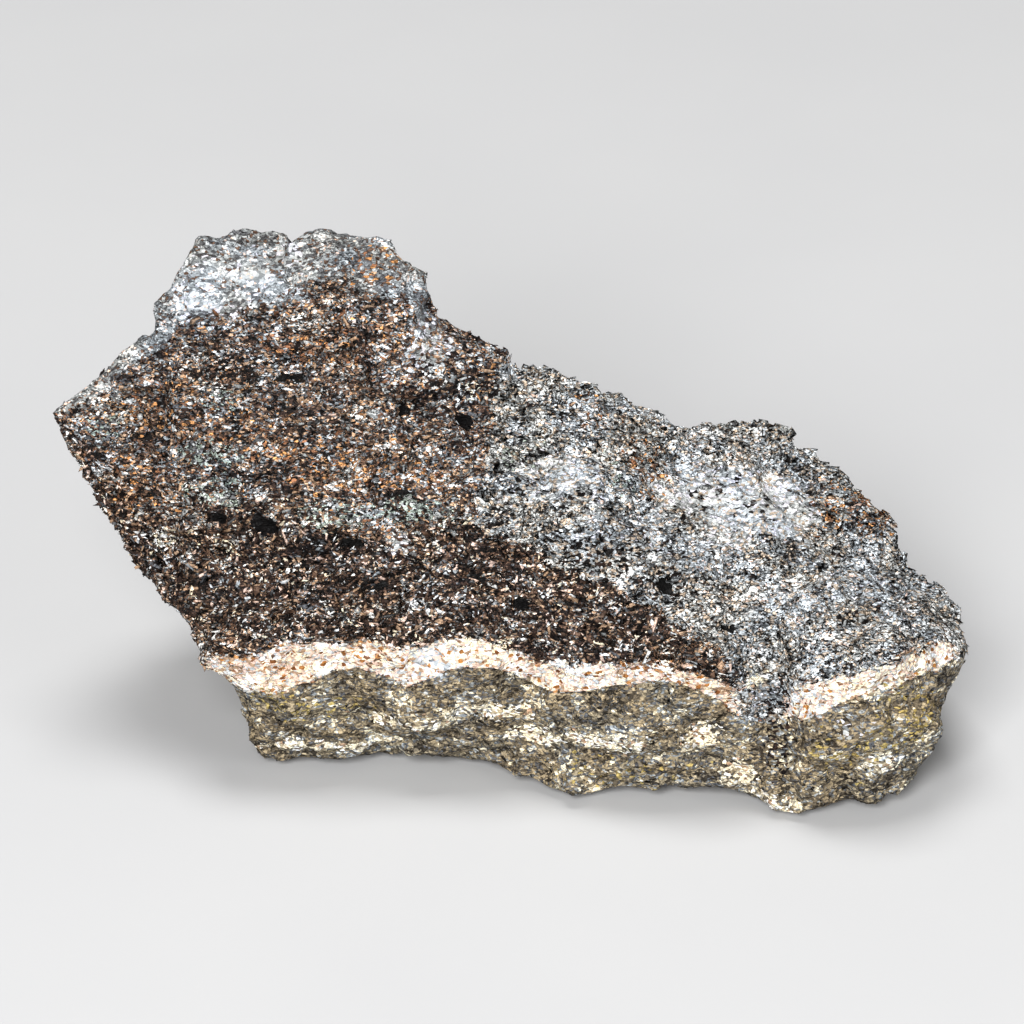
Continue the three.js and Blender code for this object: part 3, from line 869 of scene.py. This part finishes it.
@dataclass(frozen=True)
class Fabric:
    """The rock's own pattern, the same on the skin and in its grains.

    Grains of one mineral each are broken up by much finer flecks, from near black to light, and are
    parted by dark joints. Wider scales differ in light and have cracks round them. The pattern is bent
    a little, so that no grain has a straight side. A joint and a crack are given by the width of the
    line, as a share of a cell, and by the light that is left in it.
    """

    grains_per_mm: float = 2.9
    flecks_per_mm: float = 5.5
    scales_per_mm: float = 0.85
    clusters_per_mm: float = 0.3
    tints_per_mm: float = 0.22
    warm: tuple[float, float, float, float] = (1.0, 0.965, 0.9, 1)
    cool: tuple[float, float, float, float] = (0.945, 0.975, 1.0, 1)
    warmth: tuple[float, float] = (0.42, 0.58)
    bends_per_mm: float = 1.8
    bend_mm: float = 0.5
    stretch: tuple[float, float, float] = (0.75, 0.9, 1.2)
    streak: tuple[float, float, float] = (0.2, 0.5, 1.3)
    fleck_chance: tuple[float, ...] = (0.13, 0.27, 0.5, 0.8, 1.0)
    fleck_light: tuple[float, ...] = (0.02, 0.5, 1.16, 1.6, 1.9)
    scale_light: tuple[float, float] = (0.65, 1.4)
    scale_bend: float = 2.5
    joint: tuple[float, float] = (0.12, 0.28)
    crack: tuple[float, float] = (0.06, 0.22)
    line_core: float = 0.01  # the darkest part of a joint or crack, as a share of a cell
    spread: float = 0.84
    gather: tuple[float, float, float] = (1.4, 0.6, 0.4)

    def place(self, n: NodeTree, bends: float = 1.0) -> Socket:
        """Coordinates in mm, stretched along the beds and bent by noise of so many times the plain size."""
        return n.bend(n.place(self.stretch), self.bends_per_mm / bends, self.bend_mm * bends)

    def scales(self, n: NodeTree, feature: str = "F1") -> bpy.types.Node:
        """The pattern of scales, each a millimetre or so across, which a crack runs round."""
        return n.cells(self.place(n, self.scale_bend), self.scales_per_mm, feature)

    def pick(self, n: NodeTree, place: Socket, own: Socket) -> Socket:
        """Each grain's number from 0 to 1, which picks its mineral from the darkest to the lightest.

        The grain's own random number is drawn in towards the middle, and three things shift it, so that
        dark and light grains gather: broad lumps, thin streaks along the bedding, and the grain's scale.

        Args:
            n: the material's node tree.
            place: the bent coordinates.
            own: the grain's own random number.

        Returns:
            The socket of the number.
        """
        lump = n.noise(place, self.clusters_per_mm, detail=4)
        streak = n.noise(n.place(self.streak), 1.0)
        scale = n.split(self.scales(n).outputs["Color"])[2]
        picked = n.sum("ADD", n.sum("MULTIPLY", own, self.spread), 0.5 - 0.5 * self.spread)
        for shift, weight in zip((lump, streak, scale), self.gather):
            picked = n.sum("ADD", picked, n.sum("MULTIPLY", n.sum("SUBTRACT", shift, 0.5), weight))
        return n.sum("ADD", picked, 0.0, clamp=True)

    def edged(
        self, n: NodeTree, share: Value, colour: Socket, cells: bpy.types.Node, line: tuple[float, float]
    ) -> Socket:
        """A colour with dark lines along the edges of a pattern's cells.

        Args:
            n: the material's node tree.
            share: how much of the lines shows.
            colour: the colour to change.
            cells: a Voronoi texture that gives the distance to the edge.
            line: the width of the dark line, as a share of a cell, and the light that is left in it.

        Returns:
            The socket of the new colour.
        """
        width, left = line
        stops = [(self.line_core, (left, left, left, 1)), (width, (1, 1, 1, 1))]
        return n.mix(share, colour, n.ramp(cells.outputs["Distance"], stops), "MULTIPLY")

    def shade(self, n: NodeTree, place: Socket, colour: Socket, strength: Value) -> Socket:
        """A colour broken up by flecks and scales, with dark joints between grains and cracks round scales.

        Args:
            n: the material's node tree.
            place: the bent coordinates.
            colour: the minerals' colour.
            strength: how much of all that shows.

        Returns:
            The socket of the new colour.
        """
        fleck = n.split(n.cells(place, self.flecks_per_mm).outputs["Color"])[0]
        # a ramp's own colours stop at 1, so it holds half of each light and the product doubles it
        halves = [(c, (w / 2, w / 2, w / 2, 1)) for c, w in zip(self.fleck_chance, self.fleck_light)]
        light = n.sum("MULTIPLY", n.ramp(fleck, halves), 2.0)
        colour = n.mix(strength, colour, light, "MULTIPLY")
        joints = n.cells(place, self.grains_per_mm, "DISTANCE_TO_EDGE")
        colour = self.edged(n, strength, colour, joints, self.joint)
        tint = n.noise(place, self.tints_per_mm, detail=2)
        tints = list(zip(self.warmth, (self.cool, self.warm)))
        colour = n.mix(1.0, colour, n.ramp(tint, tints), "MULTIPLY")
        scale = n.split(self.scales(n).outputs["Color"])[1]
        low, high = self.scale_light
        light = n.sum("ADD", n.sum("MULTIPLY", scale, high - low), low)
        colour = n.mix(strength, colour, light, "MULTIPLY")
        return self.edged(n, strength, colour, self.scales(n, "DISTANCE_TO_EDGE"), self.crack)

    def bump(self, n: NodeTree, place: Socket, distance: float) -> None:
        """Roughens the surface a little, at about the size of the flecks."""
        made = n.node("ShaderNodeBump")
        made.inputs["Strength"].default_value = 1.0
        made.inputs["Distance"].default_value = distance * MM
        n.link(n.noise(place, self.flecks_per_mm / 2, detail=1), made.inputs["Height"])
        n.link(made.outputs[0], n.shader.inputs["Normal"])


@dataclass(frozen=True)
class RockFinish:
    """The skin's finish: grains of many minerals, bed by bed, with stains, painted shade round and in the
    pits, joints and fine flecks.
    """

    fabric: Fabric = Fabric()
    roughness: tuple[float, float] = (0.45, 0.9)
    specular: float = 0.1
    bump_mm: float = 0.3
    edge_range: tuple[float, float] = (0.15, 0.85)
    dots_per_mm: float = 1.25
    dot_size: float = 0.31
    dot_share: float = 0.62
    dot_colours: tuple[tuple[int, int, int], tuple[int, int, int]] = ((98, 58, 30), (172, 118, 64))
    calm: dict[Bed | StainOrShade, float] = field(
        default_factory=lambda: {
            StainOrShade.FROST: 0.6,
            Bed.RIM: 0.3,
            Bed.WALL: 0.45,
            Bed.SEAM: 0.72,
        }
    )

    def scaled(self, n: NodeTree, share: Socket, ends: tuple[float, float]) -> Socket:
        """A number from 0 to 1 brought between two ends."""
        low, high = ends
        return n.sum("ADD", n.sum("MULTIPLY", share, high - low), low)

    def dots(self, n: NodeTree, place: Socket, colour: Socket) -> Socket:
        """The seam's small rusty dots: the middles of some of the cells of a wider pattern."""
        cells = n.cells(place, self.dots_per_mm)
        red, green = n.split(cells.outputs["Color"])[:2]
        inside = n.sum("LESS_THAN", cells.outputs["Distance"], self.dot_size)
        chosen = n.sum("LESS_THAN", red, self.dot_share)
        shown = n.sum("MULTIPLY", n.sum("MULTIPLY", inside, chosen), n.mask(Bed.SEAM.value))
        dark, light = (linear(c) for c in self.dot_colours)
        return n.mix(shown, colour, n.ramp(green, [(0.0, dark), (1.0, light)]))

    def strength(self, n: NodeTree) -> Socket:
        """How much of the flecks shows: all of them, less where a bed or a stain is calmer."""
        strength: Value = 1.0
        for layer, calm in self.calm.items():
            less = n.sum("MULTIPLY", n.mask(layer.value), calm)
            strength = n.sum("SUBTRACT", strength, less, clamp=True)
        return strength

    def build(self) -> bpy.types.Material:
        """Makes the material.

        Each cell of a Voronoi pattern is one grain. Its three random channels pick its mineral, say
        which bed it belongs to near an edge, and whether a stain or a patch of painted shade takes it. The
        seam has rusty dots too.
        """
        n = NodeTree("broken_rock")
        place = self.fabric.place(n)
        grain = n.cells(place, self.fabric.grains_per_mm)
        red, green, blue = n.split(grain.outputs["Color"])[:3]
        pick = self.fabric.pick(n, place, red)
        edge = self.scaled(n, green, self.edge_range)
        colour = n.speckle(MINERALS[Bed.FACE], pick)
        for bed in (Bed.DARK, Bed.SEAM, Bed.WALL, Bed.PALE, Bed.RIM):
            in_bed = n.sum("GREATER_THAN", n.mask(bed.value), edge)
            colour = n.mix(in_bed, colour, n.speckle(MINERALS[bed], pick))
        colour = self.dots(n, place, colour)
        # these include the painted shade round and in the pits and down the front wall's gully
        for stain_or_shade, minerals in STAINED_OR_SHADED.items():
            taken = n.sum("MULTIPLY", n.mask(stain_or_shade.value), STAIN_OR_SHADE_SHARE[stain_or_shade])
            colour = n.mix(n.sum("GREATER_THAN", taken, blue), colour, n.speckle(minerals, green))
        shaded = self.fabric.shade(n, place, colour, self.strength(n))
        n.surface(shaded, self.scaled(n, green, self.roughness), self.specular)
        self.fabric.bump(n, place, self.bump_mm)
        return n.material


@dataclass(frozen=True)
class GrainFinish:
    """The crystals' finish: each has its own colour, and the rock's flecks show in it more faintly."""

    name: str
    roughness: float
    fleck_share: float = 0.5
    specular: float = 0.1
    fabric: Fabric = Fabric()

    def build(self) -> bpy.types.Material:
        """Makes the material from the colour that is stored on each crystal."""
        n = NodeTree(self.name)
        own = n.node("ShaderNodeAttribute", attribute_name="tint").outputs["Color"]
        shaded = self.fabric.shade(n, self.fabric.place(n), own, self.fleck_share)
        n.surface(shaded, self.roughness, self.specular)
        return n.material


def make_mesh(
    name: str, points: np.ndarray, quads: np.ndarray, extra: np.ndarray | None = None
) -> bpy.types.Mesh:
    """Puts whole arrays into a new mesh.

    Args:
        name: the mesh's name.
        points: positions in metres, of shape (points, 3).
        quads: corner numbers of the four-sided faces, of shape (faces, 4).
        extra: corner numbers of three-sided faces, of shape (faces, 3), or None.

    Returns:
        The mesh, with its edges worked out.
    """
    parts = [quads] if extra is None else [quads, extra]
    corners = np.concatenate([part.ravel() for part in parts]).astype(np.int32)
    sides = np.concatenate([np.full(len(part), part.shape[1]) for part in parts])
    starts = np.concatenate([[0], np.cumsum(sides)[:-1]]).astype(np.int32)
    mesh = bpy.data.meshes.new(name)
    mesh.vertices.add(len(points))
    mesh.vertices.foreach_set("co", points.astype(np.float32).ravel())
    mesh.loops.add(len(corners))
    mesh.loops.foreach_set("vertex_index", corners)
    mesh.polygons.add(len(sides))
    mesh.polygons.foreach_set("loop_start", starts)
    mesh.update(calc_edges=True)
    mesh.validate()
    return mesh


def store_masks(mesh: bpy.types.Mesh, masks: dict[Bed | StainOrShade, np.ndarray]) -> None:
    """Keeps one value for each of the mesh's points, for every mask and under its name."""
    for name, values in masks.items():
        stored = mesh.attributes.new(name.value, "FLOAT", "POINT")
        stored.data.foreach_set("value", values.astype(np.float32))


def store_map(mesh: bpy.types.Mesh, corners: np.ndarray) -> None:
    """Keeps the map's place, from 0 to 1 each way, of every face corner."""
    layer = mesh.uv_layers.new(name="OFBake")
    layer.data.foreach_set("uv", corners.astype(np.float32).ravel())


def add_object(name: str, data: bpy.types.ID) -> bpy.types.Object:
    """A new object in the scene, at the origin, that shows that mesh, light or camera."""
    made = bpy.data.objects.new(name, data)
    bpy.context.scene.collection.objects.link(made)
    return made


def add_piece(name: str, mesh: bpy.types.Mesh, material: bpy.types.Material) -> bpy.types.Object:
    """An object at the origin with that mesh and material, which moves with the stone's body."""
    mesh.materials.append(material)
    piece = add_object(name, mesh)
    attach(piece, "root")
    LOG.info("%s: %d faces", name, len(mesh.polygons))
    return piece


@dataclass
class Skin:
    """The stone's closed outer skin, as a grid of rings and columns with a fan at each tip."""

    form: StoneForm = field(default_factory=StoneForm)
    relief: Relief = field(default_factory=Relief)
    bedding: Bedding = field(default_factory=Bedding)
    settle_rounds: int = 3
    pit_shade_edge: tuple[float, float] = (0.25, 0.6)
    frost_calm: float = 0.7
    ledges: dict[Bed, float] = field(
        default_factory=lambda: {Bed.FACE: 1.0, Bed.DARK: 0.6, Bed.WALL: 0.5}
    )
    room: tuple[float, float] = (0.04, 0.2)  # grid spacings in mm for none and all of the fine relief
    fine_sink: float = 0.12  # in mm, how far in the fine relief is set
    points: np.ndarray = field(init=False)
    tips: np.ndarray = field(init=False)
    normals: np.ndarray = field(init=False)
    masks: dict[Bed, np.ndarray] = field(init=False)
    stains_and_shade: dict[StainOrShade, np.ndarray] = field(init=False)

    def settle(self, grid: np.ndarray) -> np.ndarray:
        """Evens a grid out: each point moves half way to the mean of its four neighbours."""
        inner = grid.copy()
        for _ in range(self.settle_rounds):
            sides = np.roll(inner, 1, axis=1) + np.roll(inner, -1, axis=1)
            ends = np.concatenate([inner[:1], inner[:-1]]) + np.concatenate([inner[1:], inner[-1:]])
            inner = 0.5 * inner + 0.125 * (sides + ends)
        return inner

    def facing(self, grid: np.ndarray) -> np.ndarray:
        """Unit normals: the cross product of the steps along the stone and round it, evened out."""
        along = np.gradient(grid, axis=0)
        around = np.roll(grid, -1, axis=1) - np.roll(grid, 1, axis=1)
        return unit(self.settle(unit(np.cross(along, around))))

    def spacing(self, grid: np.ndarray) -> np.ndarray:
        """The shorter of a point's steps along the stone and round it, which limits the fine relief."""
        along = np.linalg.norm(np.gradient(grid, axis=0), axis=-1)
        around = np.linalg.norm(np.roll(grid, -1, axis=1) - grid, axis=-1)
        return np.minimum(along, around)

    def shape(self, low: Vector, high: Vector) -> None:
        """Works out the skin's points, its masks, and its stains and painted shade.

        The plain form is moved along its normals by the broad relief and then by the fine one. The
        whole then goes over the middle of the frame's box, and stays above the resting plane.

        Args:
            low: lowest corner of the solid's box in the frame, in metres.
            high: highest corner of that box, in metres.
        """
        plain, band = self.form.grid()
        normal = self.facing(plain)
        quiet = self.relief.quiet(plain, self.form)[..., None]
        rough = plain + normal * quiet * self.relief.broad(plain)[..., None]
        self.masks = self.bedding.masks(rough, band)
        coarseness = sum(COARSENESS[bed] * mask for bed, mask in self.masks.items())
        layered = sum(share * self.masks[bed] for bed, share in self.ledges.items())
        middle = 0.5 * (np.array(low) + np.array(high)) / MM
        raw_middle = 0.5 * (rough.min(axis=(0, 1)) + rough.max(axis=(0, 1)))
        shift = np.array([middle[0] - raw_middle[0], middle[1] - raw_middle[1], 0])
        self.stains_and_shade = self.bedding.stains_and_shade(rough + shift)
        # the pits' mask, where near-black shade is painted inside the pits
        self.stains_and_shade[StainOrShade.PIT_SHADE] = ease(self.relief.in_pits(plain), *self.pit_shade_edge)
        coarseness = coarseness * (1 - self.frost_calm * self.stains_and_shade[StainOrShade.FROST])
        fine = self.relief.fine(rough, coarseness, layered)[..., None]
        room = ease(self.spacing(rough), *self.room)[..., None]
        grid = rough + self.facing(rough) * quiet * room * (fine - self.fine_sink)
        self.points = (grid + shift) * MM
        self.points[..., 2] = np.maximum(self.points[..., 2], 0)
        self.tips = (np.array([self.form.left_tip, self.form.right_tip]) + shift) * MM
        self.normals = self.facing(self.points)

    def faces(self) -> tuple[np.ndarray, np.ndarray]:
        """The corner numbers of the grid's squares, and of the triangles that close the two tips."""
        rings, columns = self.points.shape[:2]
        number = np.arange(rings * columns).reshape(rings, columns)
        after = np.roll(number, -1, axis=1)
        quads = np.stack([number[:-1], number[1:], after[1:], after[:-1]], axis=-1).reshape(-1, 4)
        left, right = np.full(columns, number.size), np.full(columns, number.size + 1)
        left_fan = np.stack([left, number[0], after[0]], axis=1)
        right_fan = np.stack([right, after[-1], number[-1]], axis=1)
        return quads, np.concatenate([left_fan, right_fan])

    def map_corners(self) -> np.ndarray:
        """The map's place of every face corner: along the stone by rings, and round it by columns."""
        rings, columns = self.points.shape[:2]
        ring, column = (part.ravel() for part in np.indices((rings - 1, columns)))
        u0, u1 = (ring + 1) / (rings + 1), (ring + 2) / (rings + 1)
        v0, v1 = column / columns, (column + 1) / columns
        squares = np.stack([u0, v0, u1, v0, u1, v1, u0, v1], axis=1)
        start, side = np.arange(columns) / columns, 1 / (rings + 1)
        end, middle = start + 1 / columns, start + 0.5 / columns
        zero, near = np.zeros(columns), np.full(columns, side)
        one, far = np.ones(columns), np.full(columns, 1 - side)
        left_fan = np.stack([zero, middle, near, start, near, end], axis=1)
        right_fan = np.stack([one, middle, far, end, far, start], axis=1)
        return np.concatenate([squares.ravel(), left_fan.ravel(), right_fan.ravel()])

    def build(self, material: bpy.types.Material) -> bpy.types.Object:
        """Makes the skin's piece, with its masks and with a map that follows the grid."""
        points = np.concatenate([self.points.reshape(-1, 3), self.tips])
        mesh = make_mesh("stone_skin", points, *self.faces())
        masks = {**self.masks, **self.stains_and_shade}
        store_masks(mesh, {n: np.append(m.ravel(), [m[0, 0], m[-1, 0]]) for n, m in masks.items()})
        store_map(mesh, self.map_corners())
        mesh.shade_smooth()
        piece = add_piece("stone_skin", mesh, material)
        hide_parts(NODE)
        return piece


@dataclass(frozen=True)
class GrainKind:
    """One kind of loose-looking grain: where it sits, how many there are, and their size and build.

    Each of the sizes is the least and the most: the width in mm, and the length and the thickness as
    shares of the width. The lean is how far a grain tilts off the skin, as a share of its normal, and
    the sink is how deep its middle lies in the skin, in mm.
    """

    name: str
    beds: dict[Bed, float]
    count: int
    seed: int
    width: tuple[float, float]
    length: tuple[float, float]
    thickness: tuple[float, float]
    lean: float
    sink: float


# these take the skin's own finish
ROCK_GRAINS: tuple[GrainKind, ...] = (
    GrainKind(
        name="dark_flakes", beds={Bed.DARK: 1.0}, count=10000, seed=101,
        width=(0.14, 0.55), length=(1.0, 2.2), thickness=(0.12, 0.3), lean=0.2, sink=0.05,
    ),
    GrainKind(
        name="face_grains", beds={Bed.FACE: 1.0}, count=12000, seed=102,
        width=(0.14, 0.42), length=(1.0, 2.0), thickness=(0.15, 0.4), lean=0.2, sink=0.05,
    ),
    GrainKind(
        name="shoulder_scales", beds={Bed.PALE: 1.0}, count=11000, seed=103,
        width=(0.2, 0.9), length=(1.0, 1.7), thickness=(0.06, 0.18), lean=0.15, sink=0.03,
    ),
    GrainKind(
        name="seam_grains", beds={Bed.SEAM: 1.0, Bed.RIM: 0.5}, count=6500, seed=104,
        width=(0.14, 0.4), length=(1.0, 1.5), thickness=(0.2, 0.5), lean=0.22, sink=0.06,
    ),
    GrainKind(
        name="wall_grains", beds={Bed.WALL: 1.0}, count=5500, seed=105,
        width=(0.14, 0.5), length=(1.0, 2.0), thickness=(0.08, 0.22), lean=0.12, sink=0.03,
    ),
)
# and these have one colour each
TINTED_GRAINS: tuple[GrainKind, ...] = (
    GrainKind(
        name="crystals", beds={Bed.DARK: 1.0, Bed.FACE: 0.4, Bed.PALE: 0.2}, count=1500, seed=106,
        width=(0.2, 0.6), length=(1.0, 1.6), thickness=(0.3, 0.6), lean=0.3, sink=0.1,
    ),
    GrainKind(
        name="splinters", beds={Bed.DARK: 1.0, Bed.FACE: 0.45, Bed.PALE: 0.3, Bed.WALL: 0.15},
        count=15000, seed=107,
        width=(0.1, 0.3), length=(2.0, 5.0), thickness=(0.3, 0.9), lean=0.2, sink=0.06,
    ),
)
CUBE_CORNERS = np.array(list(np.ndindex(2, 2, 2)))
CUBE_FACES = np.array([[0, 1, 3, 2], [4, 6, 7, 5], [0, 4, 5, 1], [2, 3, 7, 6], [0, 2, 6, 4], [1, 5, 7, 3]])


@dataclass
class Grains:
    """Scatters one kind of grain over the skin as small uneven blocks, about half sunk into it."""

    kind: GrainKind
    clear_of_floor: tuple[float, float] = (0.5, 0.9)
    lowest: float = 0.05
    scatter: float = 0.6
    uneven: float = 0.3
    small_bias: int = 3
    dark_bias: float = 0.8
    behind_share: float = 0.35
    front_edge: tuple[float, float] = (-0.4, 0.3)
    frost_calm: float = 0.8
    tint_light: tuple[float, float] = (0.7, 1.3)

    def choose(self, skin: Skin, chances: np.random.Generator) -> tuple[np.ndarray, np.ndarray]:
        """Picks grid squares, in proportion to their area and to how much of the kind's beds shows.

        Args:
            skin: the finished skin.
            chances: the source of random numbers.

        Returns:
            The ring and the column of each grain's square.
        """
        here = skin.points[:-1]
        along = skin.points[1:] - here
        around = np.roll(here, -1, axis=1) - here
        area = np.linalg.norm(np.cross(along, around), axis=-1)
        weight = sum(share * skin.masks[bed][:-1] for bed, share in self.kind.beds.items())
        above = ease(here[..., 2] / MM, *self.clear_of_floor)
        normal = skin.normals[:-1]
        to_front = ease(normal[..., 2] - normal[..., 1], *self.front_edge)
        facing = self.behind_share + (1 - self.behind_share) * to_front
        # pit holds the mask of the pits' painted near-black shade, which grains keep out of
        pit, frost = skin.stains_and_shade[StainOrShade.PIT_SHADE][:-1], skin.stains_and_shade[StainOrShade.FROST][:-1]
        open_ground = (1 - pit) ** 2 * (1 - self.frost_calm * frost)
        share = (area * weight**2 * above * facing * open_ground).ravel()
        picked = chances.choice(share.size, self.kind.count, p=share / share.sum())
        return np.unravel_index(picked, area.shape)

    def blocks(self, chances: np.random.Generator, normal: np.ndarray) -> np.ndarray:
        """Uneven blocks round the origin: a cube's eight corners, pushed about, flattened and turned.

        The flat side follows the skin's normal, leaned over by a random part of the kind's lean, and the
        long side mostly follows the bedding, along the stone.

        Args:
            chances: the source of random numbers.
            normal: the skin's normal at each grain.

        Returns:
            Corners of shape (grains, 8, 3) in mm.
        """
        count = len(normal)
        corners = CUBE_CORNERS - 0.5 + chances.uniform(-self.uneven, self.uneven, (count, 8, 3))
        small, large = self.kind.width
        width = small + (large - small) * chances.random(count) ** self.small_bias
        length = width * chances.uniform(*self.kind.length, count)
        thick = width * chances.uniform(*self.kind.thickness, count)
        corners *= np.stack([length, width, thick], axis=1)[:, None]
        axis = unit(normal + self.kind.lean * chances.normal(0, 1, (count, 3)))
        along = np.array([1, 0, 0]) + self.scatter * chances.normal(0, 1, (count, 3))
        across = unit(np.cross(axis, along))
        turn = np.stack([np.cross(across, axis), across, axis], axis=1)
        return np.einsum("gck,gkd->gcd", corners, turn)

    def tint(
        self, skin: Skin, ring: np.ndarray, column: np.ndarray, chances: np.random.Generator
    ) -> np.ndarray:
        """Each crystal's colour: a mineral of its bed, a little lighter or darker."""
        beds = list(self.kind.beds)
        most = np.argmax([skin.masks[bed][ring, column] for bed in beds], axis=0)
        throw = chances.random(len(ring)) ** self.dark_bias
        colour = np.choose(most[:, None], [MINERALS[bed].pick(throw) for bed in beds])
        colour[:, :3] *= chances.uniform(*self.tint_light, (len(ring), 1))
        return colour

    def build(self, skin: Skin, material: bpy.types.Material) -> bpy.types.Object:
        """Makes the piece: every grain's block at its place on the skin, with its masks and its map."""
        chances = np.random.default_rng(self.kind.seed)
        ring, column = self.choose(skin, chances)
        after = (column + 1) % skin.points.shape[1]
        a, b = chances.random((2, len(ring), 1))
        base = skin.points[ring, column]
        at = base + a * (skin.points[ring + 1, column] - base) + b * (skin.points[ring, after] - base)
        normal = skin.normals[ring, column]
        corners = self.blocks(chances, normal)
        corners = (corners - self.kind.sink * normal[:, None]) * MM + at[:, None]
        corners[..., 2] = np.maximum(corners[..., 2], self.lowest * MM)
        count = len(ring)
        quads = (np.arange(count)[:, None, None] * 8 + CUBE_FACES).reshape(-1, 4)
        mesh = make_mesh(self.kind.name, corners.reshape(-1, 3), quads)
        masks = {**skin.masks, **skin.stains_and_shade}
        store_masks(mesh, {name: np.repeat(mask[ring, column], 8) for name, mask in masks.items()})
        colour = np.repeat(self.tint(skin, ring, column, chances), 8, axis=0)
        stored = mesh.color_attributes.new("tint", "FLOAT_COLOR", "POINT")
        stored.data.foreach_set("color", colour.astype(np.float32).ravel())
        store_map(mesh, self.map_corners(count))
        return add_piece(self.kind.name, mesh, material)

    def map_corners(self, count: int) -> np.ndarray:
        """The map's place of every face corner: a small square for each grain, a sixth for each face."""
        across = math.ceil(math.sqrt(count))
        grain = np.arange(count)
        corner = np.stack([grain % across, grain // across], axis=1)[:, None, None] / across
        sixth = np.stack([np.arange(6) % 3 / 3, np.arange(6) // 3 / 2], axis=1)[None, :, None] / across
        square = np.array([[0.1, 0.1], [0.9, 0.1], [0.9, 0.9], [0.1, 0.9]]) * (1 / 3, 1 / 2) / across
        return corner + sixth + square


@dataclass(frozen=True)
class Lamp:
    """A square soft light: its middle and its side in mm, and its power in watts."""

    name: str
    place: tuple[float, float, float]
    width: float
    watts: float


@dataclass
class Studio:
    """The plain floor, the soft lights and the camera. Sizes are in mm."""

    floor_width: float = 4000.0
    floor_colours: tuple[tuple[int, int, int], tuple[int, int, int]] = ((164, 164, 165), (170, 170, 170))
    floor_roughness: float = 0.9
    mottles_per_mm: float = 0.02
    elevation: float = 28.0
    distance: float = 624.5
    lens: float = 200.0
    sensor: float = 36.0
    aim: tuple[float, float, float] = (0.33, -0.61, 25.4)
    sky: float = 0.26
    lamps: tuple[Lamp, ...] = (
        Lamp("top_light", (-60, 200, 1000), 460, 9.0),
        Lamp("key_light", (-230, -920, 620), 480, 21.5),
        Lamp("fill_light", (700, -500, 340), 500, 3.0),
    )

    def floor(self) -> None:
        """A plain pale floor under the stone, with a faint mottle."""
        half = 0.5 * self.floor_width * MM
        corners = np.array([[-half, -half, 0], [half, -half, 0], [half, half, 0], [-half, half, 0]])
        mesh = make_mesh("floor", corners, np.array([[0, 1, 2, 3]]))
        n = NodeTree("pale_floor")
        stops = list(zip((0.0, 1.0), map(linear, self.floor_colours)))
        mottle = n.ramp(n.noise(n.place(), self.mottles_per_mm), stops)
        n.surface(mottle, self.floor_roughness)
        mesh.materials.append(n.material)
        add_object("floor", mesh)

    def light(self, lamp: Lamp) -> None:
        """One soft light, turned towards the stone."""
        data = bpy.data.lights.new(lamp.name, "AREA")
        data.size = lamp.width * MM
        data.energy = lamp.watts
        made = add_object(lamp.name, data)
        made.location = Vector(lamp.place) * MM
        towards = Vector(self.aim) * MM - made.location
        made.rotation_euler = towards.to_track_quat("-Z", "Y").to_euler()

    def camera(self) -> None:
        """The camera at the photograph's viewing angle, level and from the front."""
        tilt = math.radians(self.elevation)
        aim = Vector(self.aim)
        back = Vector((0, -math.cos(tilt), math.sin(tilt))) * self.distance
        data = bpy.data.cameras.new("camera")
        data.lens = self.lens
        data.sensor_width = self.sensor
        made = add_object("camera", data)
        made.location = (aim + back) * MM
        made.rotation_euler = (math.radians(90) - tilt, 0, 0)
        bpy.context.scene.camera = made

    def world(self) -> None:
        """Pale even light from all round."""
        world = bpy.data.worlds.new("studio")
        world.use_nodes = True
        background = world.node_tree.nodes["Background"]
        background.inputs["Color"].default_value = (1, 1, 1, 1)
        background.inputs["Strength"].default_value = self.sky
        bpy.context.scene.world = world

    def build(self) -> None:
        """Sets the whole studio up."""
        self.floor()
        self.world()
        for lamp in self.lamps:
            self.light(lamp)
        self.camera()
        bpy.context.scene.view_settings.view_transform = "Standard"


def main() -> None:
    """Builds the skin, then the grains, then the studio."""
    logging.basicConfig(level=logging.INFO, format="%(message)s")
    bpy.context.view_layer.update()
    low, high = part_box(NODE)
    skin = Skin()
    skin.shape(low, high)
    rock = RockFinish().build()
    skin.build(rock)
    for kind in ROCK_GRAINS:
        Grains(kind).build(skin, rock)
    tinted = GrainFinish("tinted_grain", 0.5).build()
    for kind in TINTED_GRAINS:
        Grains(kind).build(skin, tinted)
    Studio().build()
    LOG.info("stone finished")


if __name__ == "__main__":
    main()
